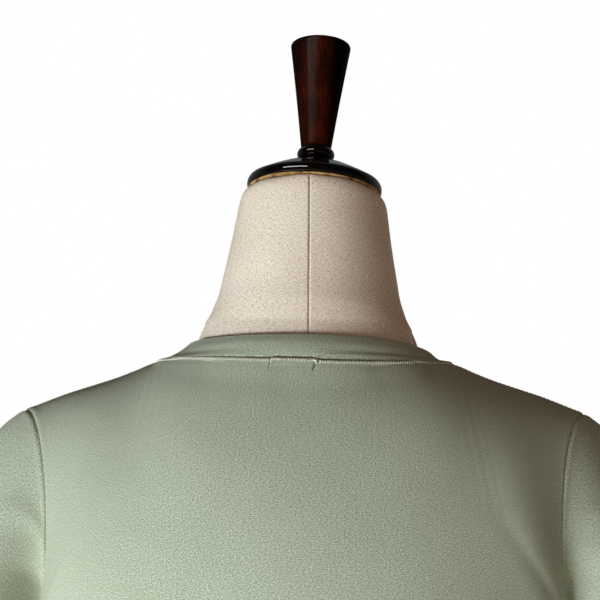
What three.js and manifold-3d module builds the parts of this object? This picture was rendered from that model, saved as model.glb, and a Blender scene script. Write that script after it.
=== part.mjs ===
// A henley dress in cotton jersey, worn by a tailor's bust on a turned wooden stand.
//
// Millimetres, +Z up. The origin is on the floor under the middle of the stand. The dress faces -Y,
// so the wearer's left is +X. Cloth is a thin wall: front, back, two sleeves, a neckband and the two
// strips of the button placket, each cut and sewn on its own, with three buttons.

import * as THREE from "three";
import { mergeVertices } from "three/addons/utils/BufferGeometryUtils.js";
import Module from "manifold-3d";

const wasm = await Module();
wasm.setup();

// ---------------------------------------------------------------- driving dimensions

const UNDERARM_Z = 1190;
const HEM_Z = 460;
const CLOTH = 1.5; // jersey wall
const BAND_CLOTH = 2.2; // folded neckband wall
const STRIP_CLOTH = 1.8; // folded placket wall
const SEAM_GAP = 0.3;

const PLACKET = { halfWidth: 15, length: 150, lap: 2, boxEnd: 12 };
const BUTTON = { radius: 5.8, thick: 2.8, holeRadius: 0.8, holeReach: 1.05, first: 17, pitch: 50 };

// The dress. neck is the seam between body and neckband; tip is the shoulder's end; armhole gives how
// far its oval reaches forward and back, and how far it cuts in from the straight line.
const DRESS = {
  rings: [
    { z: 460, half: 238, front: 160, back: 162 },
    { z: 600, half: 223, front: 153, back: 156 },
    { z: 775, half: 205, front: 143, back: 147 },
    { z: 880, half: 191, front: 131, back: 131 },
    { z: 975, half: 180, front: 122, back: 115 },
    { z: 1060, half: 176, front: 128, back: 110 },
    { z: 1140, half: 178, front: 137, back: 112 },
    { z: 1190, half: 182, front: 129, back: 115 },
  ],
  neck: {
    side: { x: 101, y: 4, z: 1377.3 },
    back: { y: 78, z: 1363.8, power: 1.08, tilt: 0.027 },
    front: { y: -85, z: 1292, power: 1.25 },
  },
  ridge: [
    { x: 101, z: 1377.3 },
    { x: 108, z: 1374.5 },
    { x: 115, z: 1371 },
    { x: 122, z: 1367.9 },
    { x: 130, z: 1364.7 },
    { x: 142, z: 1360.5 },
    { x: 154, z: 1356.5 },
    { x: 166, z: 1352.3 },
    { x: 192, z: 1341.8 },
  ],
  tip: { y: 4, z: 1341.8 },
  armhole: { back: 54, front: 47, inset: 20 },
  lean: {
    back: [-0.42, 0.907],
    backSide: [-0.97, 0.24],
    front: [-0.5, 0.86],
    frontSide: [-0.87, 0.5],
    tip: [-1, 0.05],
  },
  // How much longer the back keeps the shoulder's slope, most at `at` of the half-width.
  shoulder: { at: 0.6, width: 0.22, handle: 0.17 },
};

// The bust under it, covered in linen up to the root of the neck.
const BUST = {
  rings: [
    { z: 700, half: 158, front: 98, back: 106 },
    { z: 775, half: 168, front: 106, back: 113 },
    { z: 880, half: 148, front: 98, back: 98 },
    { z: 975, half: 124, front: 87, back: 80 },
    { z: 1060, half: 138, front: 104, back: 92 },
    { z: 1140, half: 156, front: 127, back: 102 },
    { z: 1190, half: 164, front: 117, back: 107 },
  ],
  neck: {
    side: { x: 72.2, y: 3.5, z: 1402 },
    back: { y: 62, z: 1394, power: 1.6 },
    front: { y: -58, z: 1322, power: 1.3 },
  },
  ridge: [
    { x: 72.2, z: 1402 },
    { x: 75, z: 1395.5 },
    { x: 78, z: 1386.6 },
    { x: 82, z: 1379 },
    { x: 89, z: 1372.4 },
    { x: 97, z: 1369 },
    { x: 120, z: 1362.3 },
    { x: 152, z: 1351.8 },
    { x: 182, z: 1339.8 },
  ],
  tip: { y: 4, z: 1339.8 },
  armhole: { back: 50, front: 43, inset: 22 },
  lean: {
    back: [-0.3, 0.95],
    backSide: [-0.5, 0.86],
    front: [-0.5, 0.86],
    frontSide: [-0.5, 0.86],
    tip: [-1, 0.05],
  },
};
const BUST_FLOOR_Z = 700;

// Linen neck above the root, up to the disc that closes it.
const NECK = [
  { z: 1410, half: 68.4, front: 55, back: 60.5 },
  { z: 1424, half: 63.8, front: 53.5, back: 57.8 },
  { z: 1438, half: 61.2, front: 52.4, back: 56 },
  { z: 1453, half: 58.5, front: 51.5, back: 54.2 },
  { z: 1468, half: 56, front: 51, back: 52.8 },
  { z: 1484, half: 53.7, front: 50.6, back: 51.3 },
  { z: 1492, half: 52.4, front: 50.2, back: 50.6 },
  { z: 1497.5, half: 50.5, front: 49.4, back: 49.4 },
  { z: 1500.3, half: 48.2, front: 48, back: 48 },
];
const NECK_TOP_Z = 1501.3;
const NECK_TOP_RADIUS = 46.6;

// The neck bends a little towards the wearer's right, and its turned top leans with it.
const LEAN = {
  angle: THREE.MathUtils.degToRad(3.3),
  fromZ: 1300,
  toZ: 1500,
  within: 78,
  fade: 40,
  swayPower: 0.25,
};
const FINIAL_LEAN = THREE.MathUtils.degToRad(2.3);

// The neckband's top edge, which sits lower and wider on the wearer's right, where the neck leans over it.
const BAND_TOP = {
  side: { x: 79.4, y: 4, z: 1388 },
  rightSide: { x: 88, y: 4, z: 1380.4 },
  back: { y: 68.6, z: 1382.2, power: 1.25 },
  front: { y: -74, z: 1312, power: 1.25 },
};

// The long soft folds of the hanging skirt. angle is counted from the centre back, towards +X; depth is at
// the hem, and a trough is negative.
const FOLDS = [
  { angle: 12, width: 17, depth: -11, from: 1010 },
  { angle: 38, width: 20, depth: 10, from: 930 },
  { angle: 62, width: 16, depth: -9, from: 860 },
  { angle: 100, width: 18, depth: -8, from: 900 },
  { angle: 128, width: 17, depth: 9, from: 980 },
  { angle: 151, width: 15, depth: -12, from: 1040 },
  { angle: 177, width: 18, depth: 7, from: 900 },
  { angle: 206, width: 16, depth: -11, from: 1030 },
  { angle: 234, width: 19, depth: 10, from: 940 },
  { angle: 262, width: 15, depth: -8, from: 850 },
  { angle: 297, width: 17, depth: -9, from: 930 },
  { angle: 322, width: 18, depth: 11, from: 990 },
  { angle: 345, width: 15, depth: -7, from: 900 },
];

// The short sleeve hangs empty: its cuff is an oval round the sleeve's own slanting axis.
const SLEEVE = {
  cuff: { x: 233, y: 2, z: 1126, reach: 36, halfDepth: 69 },
  slant: THREE.MathUtils.degToRad(20),
};

// Turned wood, as radius and height pairs from the axis outwards and back.
const CAP = { radius: 48.2, baseZ: 1503, rim: 4.2, topZ: 1526, bore: 12 };
const DISC = { radius: 47.2, z: 1501.6, topZ: 1502.7 };
const BEAD = { radius: 13.4, z: 1526.6, height: 9.9 };
const HANDLE = { foot: 11, head: 21.8, z: 1536.8, height: 79 };
const STAND = { baseRadius: 210, columnRadius: 17, socketRadius: 46 };

// Triangles: cells across a panel from centre to side seam, and up it.
const CELLS = { neck: 5, shoulder: 5, skirt: 12, yoke: 9 };

// ---------------------------------------------------------------- small tools

const lerp = THREE.MathUtils.lerp;
const smooth = (t) => t * t * (3 - 2 * t);
const clamp01 = (t) => Math.min(1, Math.max(0, t));
const steps = (n) => Array.from({ length: n + 1 }, (_, i) => i / n);
const vec = (x, y, z) => new THREE.Vector3(x, y, z);

// A smooth curve through a table's rows: each span is a cubic whose end slopes are the neighbours' chord.
function through(rows, across, value) {
  const slope = (i) => {
    const a = rows[Math.max(0, i - 1)];
    const b = rows[Math.min(rows.length - 1, i + 1)];
    return (b[value] - a[value]) / (b[across] - a[across]);
  };
  return (at) => {
    let i = rows.findIndex((row, k) => k > 0 && at <= row[across]);
    if (i < 0) i = rows.length - 1;
    const [a, b] = [rows[i - 1], rows[i]];
    const span = b[across] - a[across];
    const t = (at - a[across]) / span;
    const [t2, t3] = [t * t, t * t * t];
    return (
      (2 * t3 - 3 * t2 + 1) * a[value] +
      (t3 - 2 * t2 + t) * span * slope(i - 1) +
      (3 * t2 - 2 * t3) * b[value] +
      (t3 - t2) * span * slope(i)
    );
  };
}

function bezier(p, t) {
  const s = 1 - t;
  const weights = [s * s * s, 3 * s * s * t, 3 * s * t * t, t * t * t];
  return p.reduce((sum, point, i) => sum.addScaledVector(point, weights[i]), vec(0, 0, 0));
}

// A loop round the neck. turn is 0 at the centre, 1 at the side; face is +1 behind and -1 in front. tilt
// raises the loop on the wearer's left and lowers it on the right, between the centre and the side.
function neckPoint(neck, face, turn, sign) {
  const angle = (turn * Math.PI) / 2;
  const end = face > 0 ? neck.back : neck.front;
  const side = (sign < 0 && neck.rightSide) || neck.side;
  const [over, across] = [Math.sin(angle), Math.cos(angle)];
  const tilted = (end.tilt ?? 0) * sign * side.x * over * (1 - over * over);
  return vec(
    sign * side.x * over,
    lerp(side.y, end.y, across),
    lerp(side.z, end.z, Math.pow(across, end.power)) + tilted,
  );
}

// How far the skirt's folds move the cloth out at an angle and height: each is a bell across, growing
// from nothing at its start to its full depth at the hem.
function foldAt(angle, z) {
  return FOLDS.reduce((sum, fold) => {
    const away = (((angle - fold.angle + 540) % 360) - 180) / fold.width;
    const grown = smooth(clamp01((fold.from - z) / (fold.from - HEM_Z)));
    return sum + fold.depth * grown * Math.exp(-away * away);
  }, 0);
}

// ---------------------------------------------------------------- the torso form

const NECK_SHARE = 0.5; // share of a panel's half-width that ends at the neckline
const [RISE_HANDLE, TOP_HANDLE] = [0.4, 0.3]; // of a column's height

// The surface of a dress or bust. w runs from -1 at one side seam to 1 at the other; v runs from 0 at
// the bottom ring to 1 at the underarm, and on to 2 at the shoulder seam or neckline.
function torsoSurface(spec, folded) {
  const ring = ["half", "front", "back"].map((key) => through(spec.rings, "z", key));
  const ridgeZ = through(spec.ridge, "x", "z");
  const floorZ = spec.rings[0].z;
  const tipX = spec.ridge.at(-1).x;

  const onRing = (face, w, z) => {
    const angle = (w * Math.PI) / 2;
    const turn = face > 0 ? angle : Math.PI - angle;
    const out = folded ? foldAt(((turn * 180) / Math.PI + 360) % 360, z) : 0;
    const depth = face > 0 ? ring[2](z) : ring[1](z);
    return vec((ring[0](z) + out) * Math.sin(angle), face * (depth + out) * Math.cos(angle), z);
  };

  const topEdge = (face, w) => {
    const across = Math.abs(w);
    if (across <= NECK_SHARE) return neckPoint(spec.neck, face, across / NECK_SHARE, Math.sign(w));
    const share = (across - NECK_SHARE) / (1 - NECK_SHARE);
    const x = lerp(spec.neck.side.x, tipX, share);
    return vec(Math.sign(w) * x, lerp(spec.neck.side.y, spec.tip.y, share), ridgeZ(x));
  };

  const leanAt = (face, w) => {
    const across = Math.abs(w);
    const { back, backSide, front, frontSide, tip } = spec.lean;
    const [centre, side] = face > 0 ? [back, backSide] : [front, frontSide];
    const [from, to, share] =
      across <= NECK_SHARE
        ? [centre, side, smooth(across / NECK_SHARE)]
        : [side, tip, smooth((across - NECK_SHARE) / (1 - NECK_SHARE))];
    return vec(0, face * lerp(from[0], to[0], share), lerp(from[1], to[1], share)).normalize();
  };

  // The armhole's oval from the underarm (t 0) to the shoulder tip (t 1), on one face.
  const armhole = (face, t, sign) => {
    const reach = face > 0 ? spec.armhole.back : spec.armhole.front;
    const swell = Math.sin(Math.PI * t);
    const x = lerp(ring[0](UNDERARM_Z), tipX, smooth(t)) - spec.armhole.inset * swell;
    const rise = (1 - Math.cos(Math.PI * t)) / 2;
    const y = spec.tip.y * smooth(t) + face * reach * swell;
    return vec(sign * x, y, lerp(UNDERARM_Z, spec.tip.z, rise));
  };

  const column = (face, w, t) => {
    const foot = onRing(face, w, UNDERARM_Z);
    const head = topEdge(face, w);
    const height = head.z - foot.z;
    const below = onRing(face, w, UNDERARM_Z - 1);
    const upwards = foot.clone().sub(below);
    const { at: middle, width, handle } = spec.shoulder ?? { at: 0, width: 1, handle: 0 };
    const longer = face > 0 ? handle * Math.exp(-(((Math.abs(w) - middle) / width) ** 2)) : 0;
    return bezier(
      [
        foot,
        foot.clone().addScaledVector(upwards, height * RISE_HANDLE),
        head.clone().addScaledVector(leanAt(face, w), -height * (TOP_HANDLE + longer)),
        head,
      ],
      t,
    );
  };

  const at = (face, w, v) => {
    if (v <= 1) return onRing(face, w, lerp(floorZ, UNDERARM_Z, v));
    const t = v - 1;
    const sign = w < 0 ? -1 : 1;
    const point = column(face, w, t);
    const pull = smooth(clamp01((Math.abs(w) - 0.3) / 0.7));
    return point.addScaledVector(armhole(face, t, sign).sub(column(face, sign, t)), pull);
  };
  return { at, armhole, topEdge };
}

// ---------------------------------------------------------------- walls and solids

// Outward normals of a grid of points, from the neighbours along and across it.
function gridNormals(grid, flip, closed) {
  const [rows, columns] = [grid.length, grid[0].length];
  return grid.map((line, r) =>
    line.map((_, c) => {
      const before = closed ? (c + columns - 1) % columns : Math.max(0, c - 1);
      const after = closed ? (c + 1) % columns : Math.min(columns - 1, c + 1);
      const along = grid[r][after].clone().sub(grid[r][before]);
      const up = grid[Math.min(rows - 1, r + 1)][c].clone().sub(grid[Math.max(0, r - 1)][c]);
      return along.cross(up).normalize().multiplyScalar(flip);
    }),
  );
}

// A closed wall about a grid of points. shift gives how far each point moves along its normal, open
// says which cells are left out, and closed joins the last column to the first.
function wall(grid, thick, { flip = 1, shift = () => 0, open = () => false, closed = false } = {}) {
  const normals = gridNormals(grid, flip, closed);
  const [rows, columns] = [grid.length, grid[0].length];
  const cellColumns = closed ? columns : columns - 1;
  const corners = [];
  const put = (r, c, out) => {
    const offset = shift(r, c) + (out ? thick / 2 : -thick / 2);
    const p = grid[r][c % columns].clone().addScaledVector(normals[r][c % columns], offset);
    corners.push(p.x, p.y, p.z);
  };
  const quad = (a, b, c, d) => {
    const order = flip > 0 ? [a, b, c, a, c, d] : [a, c, b, a, d, c];
    order.forEach((p) => put(...p));
  };
  const solid = (r, c) => {
    const column = closed ? (c + columns) % columns : c;
    const inside = r >= 0 && r < rows - 1 && column >= 0 && column < cellColumns;
    return inside && !open(r, column);
  };
  for (let r = 0; r < rows - 1; r++)
    for (let c = 0; c < cellColumns; c++) {
      if (!solid(r, c)) continue;
      quad([r, c, true], [r, c + 1, true], [r + 1, c + 1, true], [r + 1, c, true]);
      quad([r, c, false], [r + 1, c, false], [r + 1, c + 1, false], [r, c + 1, false]);
      const rim = (r0, c0, r1, c1) =>
        quad([r0, c0, false], [r1, c1, false], [r1, c1, true], [r0, c0, true]);
      if (!solid(r - 1, c)) rim(r, c, r, c + 1);
      if (!solid(r + 1, c)) rim(r + 1, c + 1, r + 1, c);
      if (!solid(r, c - 1)) rim(r + 1, c, r, c);
      if (!solid(r, c + 1)) rim(r, c + 1, r + 1, c + 1);
    }
  return new THREE.BufferGeometry().setAttribute(
    "position",
    new THREE.Float32BufferAttribute(corners, 3),
  );
}

function solidOf(geometry) {
  const bare = geometry.index ? geometry.toNonIndexed() : geometry.clone();
  ["normal", "uv"].forEach((name) => bare.deleteAttribute(name));
  const merged = mergeVertices(bare, 1e-4);
  return new wasm.Manifold(
    new wasm.Mesh({
      numProp: 3,
      vertProperties: merged.attributes.position.array,
      triVerts: new Uint32Array(merged.index.array),
    }),
  );
}

function geometryOf(solid) {
  const mesh = solid.getMesh();
  return new THREE.BufferGeometry()
    .setAttribute("position", new THREE.BufferAttribute(mesh.vertProperties, 3))
    .setIndex(new THREE.BufferAttribute(mesh.triVerts, 1));
}

// A turned piece about the Z axis from its profile, given from the bottom of the axis to the top.
function turned(profile, segments) {
  const points = profile.map(([radius, z]) => new THREE.Vector2(radius, z));
  return new THREE.LatheGeometry(points, segments).rotateX(Math.PI / 2);
}

// A round moulding's profile: points of a half-circle that bulges from one height to another.
const moulding = (inner, bulge, z, height, count) =>
  steps(count).map((t) => [inner + bulge * Math.sin(Math.PI * t), z + height * t]);

// ---------------------------------------------------------------- materials

const paint = (color, roughness, metalness = 0) =>
  new THREE.MeshStandardMaterial({ color, roughness, metalness });
const MATERIALS = {
  jersey: paint(0xa3ae98, 0.95),
  button: paint(0x7f8672, 0.35),
  linen: paint(0xcdbfa9, 0.9),
  card: paint(0xa8793f, 0.8),
  lacquer: paint(0x1d0a05, 0.15),
};

const part = new THREE.Group();

function add(name, geometry, material) {
  const mesh = new THREE.Mesh(geometry, MATERIALS[material]);
  mesh.name = name;
  part.add(mesh);
  return mesh;
}

// ---------------------------------------------------------------- dress panels

const dress = torsoSurface(DRESS, true);

// Where the columns stand from one side seam to the other: even steps over the shoulder and round the
// neck, with a column at each edge of the placket's slot.
const SLOT_W = (NECK_SHARE * 2 * Math.asin(PLACKET.halfWidth / DRESS.neck.side.x)) / Math.PI;
const SEAM_W = SEAM_GAP / 2 / (DRESS.rings.at(-1).back * (Math.PI / 2));
const halfColumns = [
  0,
  ...steps(CELLS.neck - 1).map((t) => lerp(SLOT_W, NECK_SHARE, t)),
  ...steps(CELLS.shoulder)
    .slice(1)
    .map((t) => Math.min(1 - SEAM_W, lerp(NECK_SHARE, 1, t))),
];
const panelColumns = [...halfColumns.slice(1).reverse().map((w) => -w), ...halfColumns];

// Rows up a panel, from the hem to the seam at the top, with rows at the placket's foot and the slot's.
const SLOT_FOOT_Z = DRESS.neck.front.z - PLACKET.length;
const skirtV = (z) => (z - HEM_Z) / (UNDERARM_Z - HEM_Z);
const placketFootV = skirtV(SLOT_FOOT_Z - PLACKET.boxEnd);
const slotFootV = skirtV(SLOT_FOOT_Z);
const TOP_V = 2 - (SEAM_GAP * 1.6) / (3 * TOP_HANDLE * (DRESS.tip.z - UNDERARM_Z));
const panelRows = [
  ...steps(CELLS.skirt - 3).map((t) => t * placketFootV),
  slotFootV,
  lerp(slotFootV, 1, 0.5),
  ...steps(CELLS.yoke).map((t) => lerp(1, TOP_V, t)),
];

function panel(face, open) {
  const grid = panelRows.map((v) => panelColumns.map((w) => dress.at(face, w, v)));
  return wall(grid, CLOTH, { flip: -face, open });
}

const slotRow = CELLS.skirt - 2;
const middle = halfColumns.length - 1;
const inSlot = (row, column) => row >= slotRow && (column === middle || column === middle - 1);

add("back", panel(1), "jersey");
add("front", panel(-1, inSlot), "jersey");

// ---------------------------------------------------------------- sleeves

// One line down a sleeve, from the armhole to the cuff. turn goes once round from the shoulder tip,
// behind, to the underarm and back in front.
function sleeveLine(turn, sign) {
  const face = turn <= 0.5 ? 1 : -1;
  const t = 1 - (face > 0 ? turn * 2 : (1 - turn) * 2);
  const [up, back] = [Math.cos(turn * 2 * Math.PI), Math.sin(turn * 2 * Math.PI)];
  const low = (1 - up) / 2;
  const outward = vec(0.9, -0.3 * back, lerp(-0.37, 0.5, low)).normalize();
  const start = dress.armhole(face, t, 1).addScaledVector(outward, lerp(0.9, 2.3, low));
  const { x, y, z, reach, halfDepth } = SLEEVE.cuff;
  const [lean, drop] = [Math.sin(SLEEVE.slant), Math.cos(SLEEVE.slant)];
  const cuff = vec(x + reach * up * drop, y + halfDepth * back, z + reach * up * lean);
  const downward = vec(lean, 0, -drop);
  const points = [
    start,
    start.clone().addScaledVector(outward, lerp(52, 14, Math.sqrt(low))),
    cuff.clone().addScaledVector(downward, -lerp(70, 24, low)),
    cuff,
  ];
  points.forEach((point) => (point.x *= sign));
  return (share) => bezier(points, share);
}

function sleeve(sign) {
  const lines = steps(24)
    .slice(0, -1)
    .map((turn) => sleeveLine(turn, sign));
  const grid = steps(8).map((share) => lines.map((line) => line(share)));
  return wall(grid, CLOTH, { flip: sign, closed: true });
}

add("sleeve_left", sleeve(1), "jersey");
add("sleeve_right", sleeve(-1), "jersey");

// ---------------------------------------------------------------- neckband and placket

// The band runs from its end under the placket, round the back, to its end on top. turn is 0 at the
// centre back, 1 at the sides, 2 at the centre front, and a little more where the ends lap.
const LAP_TURN = 2 + (2 * Math.asin((PLACKET.halfWidth + PLACKET.lap) / DRESS.neck.side.x)) / Math.PI;
const LAP_STEP = (BAND_CLOTH + SEAM_GAP) / 2 + 0.3;

function bandPoint(turn, up) {
  const sign = Math.sign(turn) || 1;
  const amount = Math.abs(turn);
  const face = amount <= 1 ? 1 : -1;
  const round = amount <= 1 ? amount : 2 - amount;
  const loop = (neck) => neckPoint(neck, face, Math.abs(round), sign * (Math.sign(round) || 1));
  const seam = loop(DRESS.neck);
  const edge = loop(BAND_TOP);
  const along = edge.clone().sub(seam).normalize();
  return seam.addScaledVector(along, BAND_CLOTH / 2 + SEAM_GAP * 2.6).lerp(edge, up);
}

// How far the band stands out: a soft roll between its edges, hollow where it turns up the side of the
// neck, and the step where one end laps the other.
function bandShift(turn, up) {
  const lapped = LAP_STEP * smooth(clamp01((Math.abs(turn) - 1.55) / 0.4));
  const behind = 1 - smooth(clamp01((Math.abs(turn) - 1) / 0.2));
  const beside = Math.pow(Math.sin((Math.PI * turn) / 2), 2) * behind;
  return lerp(1.4, -1.8, beside) * Math.sin(Math.PI * up) - Math.sign(turn) * lapped;
}

const bandTurns = steps(52).map((share) => lerp(-LAP_TURN, LAP_TURN, share));
const bandHeights = steps(4);
add(
  "neckband",
  wall(
    bandHeights.map((up) => bandTurns.map((turn) => bandPoint(turn, up))),
    BAND_CLOTH,
    { flip: -1, shift: (r, c) => bandShift(bandTurns[c], bandHeights[r]) },
  ),
  "jersey",
);

// A strip of the placket, made from the front panel's own surface and moved out by shift. Its rows
// are the panel's own, so the two lie parallel.
function placketStrip(halfWidth, footV, shift) {
  const rows = [footV, ...panelRows.filter((v) => v > footV + 1e-4), TOP_V - STRIP_TOP_V];
  rows.splice(-2, 1);
  const halfW = (t) => ((2 * t - 1) * halfWidth * SLOT_W) / PLACKET.halfWidth;
  const grid = rows.map((v) => steps(4).map((t) => dress.at(-1, halfW(t), v)));
  return wall(grid, STRIP_CLOTH, { flip: 1, shift: () => shift });
}

const STRIP_TOP_V = 0.008;
const OVER_SHIFT = CLOTH / 2 + SEAM_GAP + STRIP_CLOTH / 2;
const underHalf = PLACKET.halfWidth - SEAM_GAP;
const overHalf = PLACKET.halfWidth + PLACKET.lap;
add("placket_under", placketStrip(underHalf, slotFootV + 0.0015, -0.2), "jersey");
add("placket_over", placketStrip(overHalf, placketFootV, OVER_SHIFT), "jersey");

// A four-hole button, dished inside its rim.
function buttonGeometry() {
  const { radius, thick, holeRadius, holeReach } = BUTTON;
  const disc = turned(
    [
      [0, 0],
      [radius * 0.8, 0],
      [radius, thick * 0.4],
      [radius, thick * 0.7],
      [radius * 0.9, thick],
      [radius * 0.72, thick],
      [radius * 0.58, thick * 0.65],
      [0, thick * 0.62],
    ],
    28,
  );
  const corners = [-1, 1].flatMap((x) => [-1, 1].map((y) => [x, y]));
  const holes = corners.map(([x, y]) => {
    const hole = new THREE.CylinderGeometry(holeRadius, holeRadius, thick * 3, 10);
    return hole.rotateX(Math.PI / 2).translate(x * holeReach, y * holeReach, 0);
  });
  const made = holes.reduce((solid, hole) => solid.subtract(solidOf(hole)), solidOf(disc));
  return geometryOf(made);
}

// The v of the front's centre line at a height.
function centreV(z) {
  if (z <= UNDERARM_Z) return (z - HEM_Z) / (UNDERARM_Z - HEM_Z);
  let [low, high] = [1, 2];
  for (let i = 0; i < 30; i++) {
    const mid = (low + high) / 2;
    if (dress.at(-1, 0, mid).z < z) low = mid;
    else high = mid;
  }
  return low;
}

[1, 2, 3].forEach((number) => {
  const z = DRESS.neck.front.z - BUTTON.first - (number - 1) * BUTTON.pitch;
  const v = centreV(z);
  const at = dress.at(-1, 0, v);
  const up = dress.at(-1, 0, v + 0.01).sub(at);
  const out = vec(1, 0, 0).cross(up).normalize();
  const button = add(`button_${number}`, buttonGeometry(), "button");
  button.position.copy(at.addScaledVector(out, OVER_SHIFT + STRIP_CLOTH / 2 + SEAM_GAP));
  button.quaternion.setFromUnitVectors(vec(0, 0, 1), out);
});

// ---------------------------------------------------------------- the bust

// A point of the neck, moved with the bend. The tilt grows evenly from the root to the top, the sway a
// little faster, and both fade out across the shoulders.
function bent(point) {
  const share = clamp01((point.z - LEAN.fromZ) / (LEAN.toZ - LEAN.fromZ));
  const inner = 1 - smooth(clamp01((Math.abs(point.x) - LEAN.within) / LEAN.fade));
  const tilt = LEAN.angle * share * inner;
  const sway = (tilt * Math.pow(share, LEAN.swayPower) * (LEAN.toZ - LEAN.fromZ)) / 2;
  return vec(point.x * Math.cos(tilt) - sway, point.y, point.z + point.x * Math.sin(tilt));
}

// One closed skin: rings up the trunk, the two faces of the chest and back, a plate that closes each
// armhole, and the neck.
function bustGeometry() {
  const bust = torsoSurface(BUST, false);
  const shoulder = steps(6).slice(1);
  const half = [
    ...steps(4).map((t) => t * NECK_SHARE),
    ...shoulder.map((t) => lerp(NECK_SHARE, 1, Math.pow(t, 1.5))),
  ];
  const columns = [...half.slice(1).reverse().map((w) => -w), ...half];
  const corners = [];
  const triangle = (a, b, c) => [a, b, c].forEach((p) => corners.push(p.x, p.y, p.z));
  const quad = (a, b, c, d) => {
    triangle(a, b, c);
    triangle(a, c, d);
  };
  const skin = (grid) => {
    for (let r = 0; r < grid.length - 1; r++)
      for (let c = 0; c < grid[r].length - 1; c++)
        quad(grid[r][c], grid[r][c + 1], grid[r + 1][c + 1], grid[r + 1][c]);
  };
  const rows = [...steps(8), ...steps(9).slice(1).map((t) => 1 + t)];
  const face = (side, row) => columns.map((w) => bust.at(side, w, row));
  skin(rows.map((v) => face(-1, v)));
  skin(rows.map((v) => face(1, v).reverse()));

  // Armhole plates, gently domed.
  const yoke = rows.filter((v) => v >= 1);
  [1, -1].forEach((sign) => {
    const plate = yoke.map((v) => {
      const front = bust.armhole(-1, v - 1, sign);
      const back = bust.armhole(1, v - 1, sign);
      return steps(4).map((t) => {
        const point = front.clone().lerp(back, t);
        point.x += sign * 5 * Math.sin(Math.PI * (v - 1)) * Math.sin(Math.PI * t);
        return point;
      });
    });
    skin(sign > 0 ? plate : plate.map((row) => row.reverse()));
  });

  // The neck, from its root on the chest up to the disc.
  const turns = columns.filter((w) => Math.abs(w) <= NECK_SHARE + 1e-9);
  const root = [
    ...turns.map((w) => bust.topEdge(-1, w)),
    ...turns.map((w) => bust.topEdge(1, w)).reverse().slice(1, -1),
  ];
  const onNeck = ({ half, front, back, z }) => {
    const loop = (side) =>
      turns.map((w) => {
        const angle = (w / NECK_SHARE) * (Math.PI / 2);
        return vec(half * Math.sin(angle), side * (side > 0 ? back : front) * Math.cos(angle), z);
      });
    return [...loop(-1), ...loop(1).reverse().slice(1, -1)];
  };
  const top = { z: NECK_TOP_Z, half: NECK_TOP_RADIUS, front: NECK_TOP_RADIUS, back: NECK_TOP_RADIUS };
  const collar = onNeck(NECK[0]);
  const between = [0.33, 0.67].map((t) => root.map((point, i) => point.clone().lerp(collar[i], t)));
  const loops = [root, ...between, ...NECK.map(onNeck), onNeck(top)];
  skin(loops.map((loop) => [...loop, loop[0]]));

  const close = (loop, centre, up) =>
    loop.forEach((point, i) => {
      const next = loop[(i + 1) % loop.length];
      triangle(centre, up ? point : next, up ? next : point);
    });
  close(loops.at(-1), vec(0, 0, NECK_TOP_Z), true);
  const floor = [...face(-1, 0), ...face(1, 0).reverse().slice(1, -1)];
  close(floor, vec(0, 0, BUST_FLOOR_Z), false);
  for (let i = 0; i < corners.length; i += 3) bent(vec(...corners.slice(i, i + 3))).toArray(corners, i);
  return new THREE.BufferGeometry().setAttribute("position", new THREE.Float32BufferAttribute(corners, 3));
}

add("bust", bustGeometry(), "linen");

// ---------------------------------------------------------------- turned wood

// A turned piece that stands on the leaning neck.
function addLeaning(name, geometry, material, tilt = LEAN.angle) {
  const mesh = add(name, geometry.translate(0, 0, -LEAN.toZ), material);
  mesh.position.copy(bent(vec(0, 0, LEAN.toZ)));
  mesh.rotation.y = -tilt;
}

addLeaning(
  "neck_disc",
  turned([[0, DISC.z], [DISC.radius, DISC.z], [DISC.radius, DISC.topZ], [0, DISC.topZ]], 48),
  "card",
);

// A domed disc with a rounded rim.
const capRim = steps(7).map((t) => {
  const angle = lerp(-85, 60, t) * THREE.MathUtils.DEG2RAD;
  const inner = CAP.radius - CAP.rim;
  return [inner + CAP.rim * Math.cos(angle), CAP.baseZ + CAP.rim * (1 + Math.sin(angle))];
});
const capDome = steps(6).slice(1).map((t) => {
  const [edge, shoulder] = capRim.at(-1);
  const radius = lerp(edge, CAP.bore, t);
  return [radius, lerp(shoulder, CAP.topZ, Math.sin((t * Math.PI) / 2) * 0.35 + t * 0.65)];
});
addLeaning(
  "neck_cap",
  turned([[0, CAP.baseZ], [41, CAP.baseZ], ...capRim, ...capDome, [0, CAP.topZ]], 48),
  "lacquer",
);

addLeaning(
  "finial_bead",
  turned(
    [
      [0, BEAD.z],
      ...moulding(BEAD.radius - 4, 4, BEAD.z, BEAD.height, 9),
      [0, BEAD.z + BEAD.height],
    ],
    40,
  ),
  "lacquer",
  FINIAL_LEAN,
);

const handleTop = HANDLE.z + HANDLE.height;
addLeaning(
  "finial_handle",
  turned(
    [
      [0, HANDLE.z],
      [HANDLE.foot - 0.6, HANDLE.z],
      [HANDLE.foot, HANDLE.z + 1],
      [lerp(HANDLE.foot, HANDLE.head, 0.47), lerp(HANDLE.z, handleTop, 0.5)],
      [HANDLE.head, handleTop - 4],
      [HANDLE.head - 0.3, handleTop - 2.2],
      [HANDLE.head - 1.3, handleTop - 0.8],
      [HANDLE.head - 3, handleTop],
      [0, handleTop],
    ],
    40,
  ),
  "lacquer",
  FINIAL_LEAN,
);

// Socket under the bust, turned column and round foot.
const socketTop = BUST_FLOOR_Z - SEAM_GAP;
add(
  "stand_socket",
  turned(
    [
      [0, socketTop - 40],
      [20, socketTop - 40],
      [24, socketTop - 36],
      [24, socketTop - 28],
      [30, socketTop - 16],
      [STAND.socketRadius - 2, socketTop - 10],
      [STAND.socketRadius, socketTop - 7],
      [STAND.socketRadius, socketTop],
      [0, socketTop],
    ],
    40,
  ),
  "lacquer",
);

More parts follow.
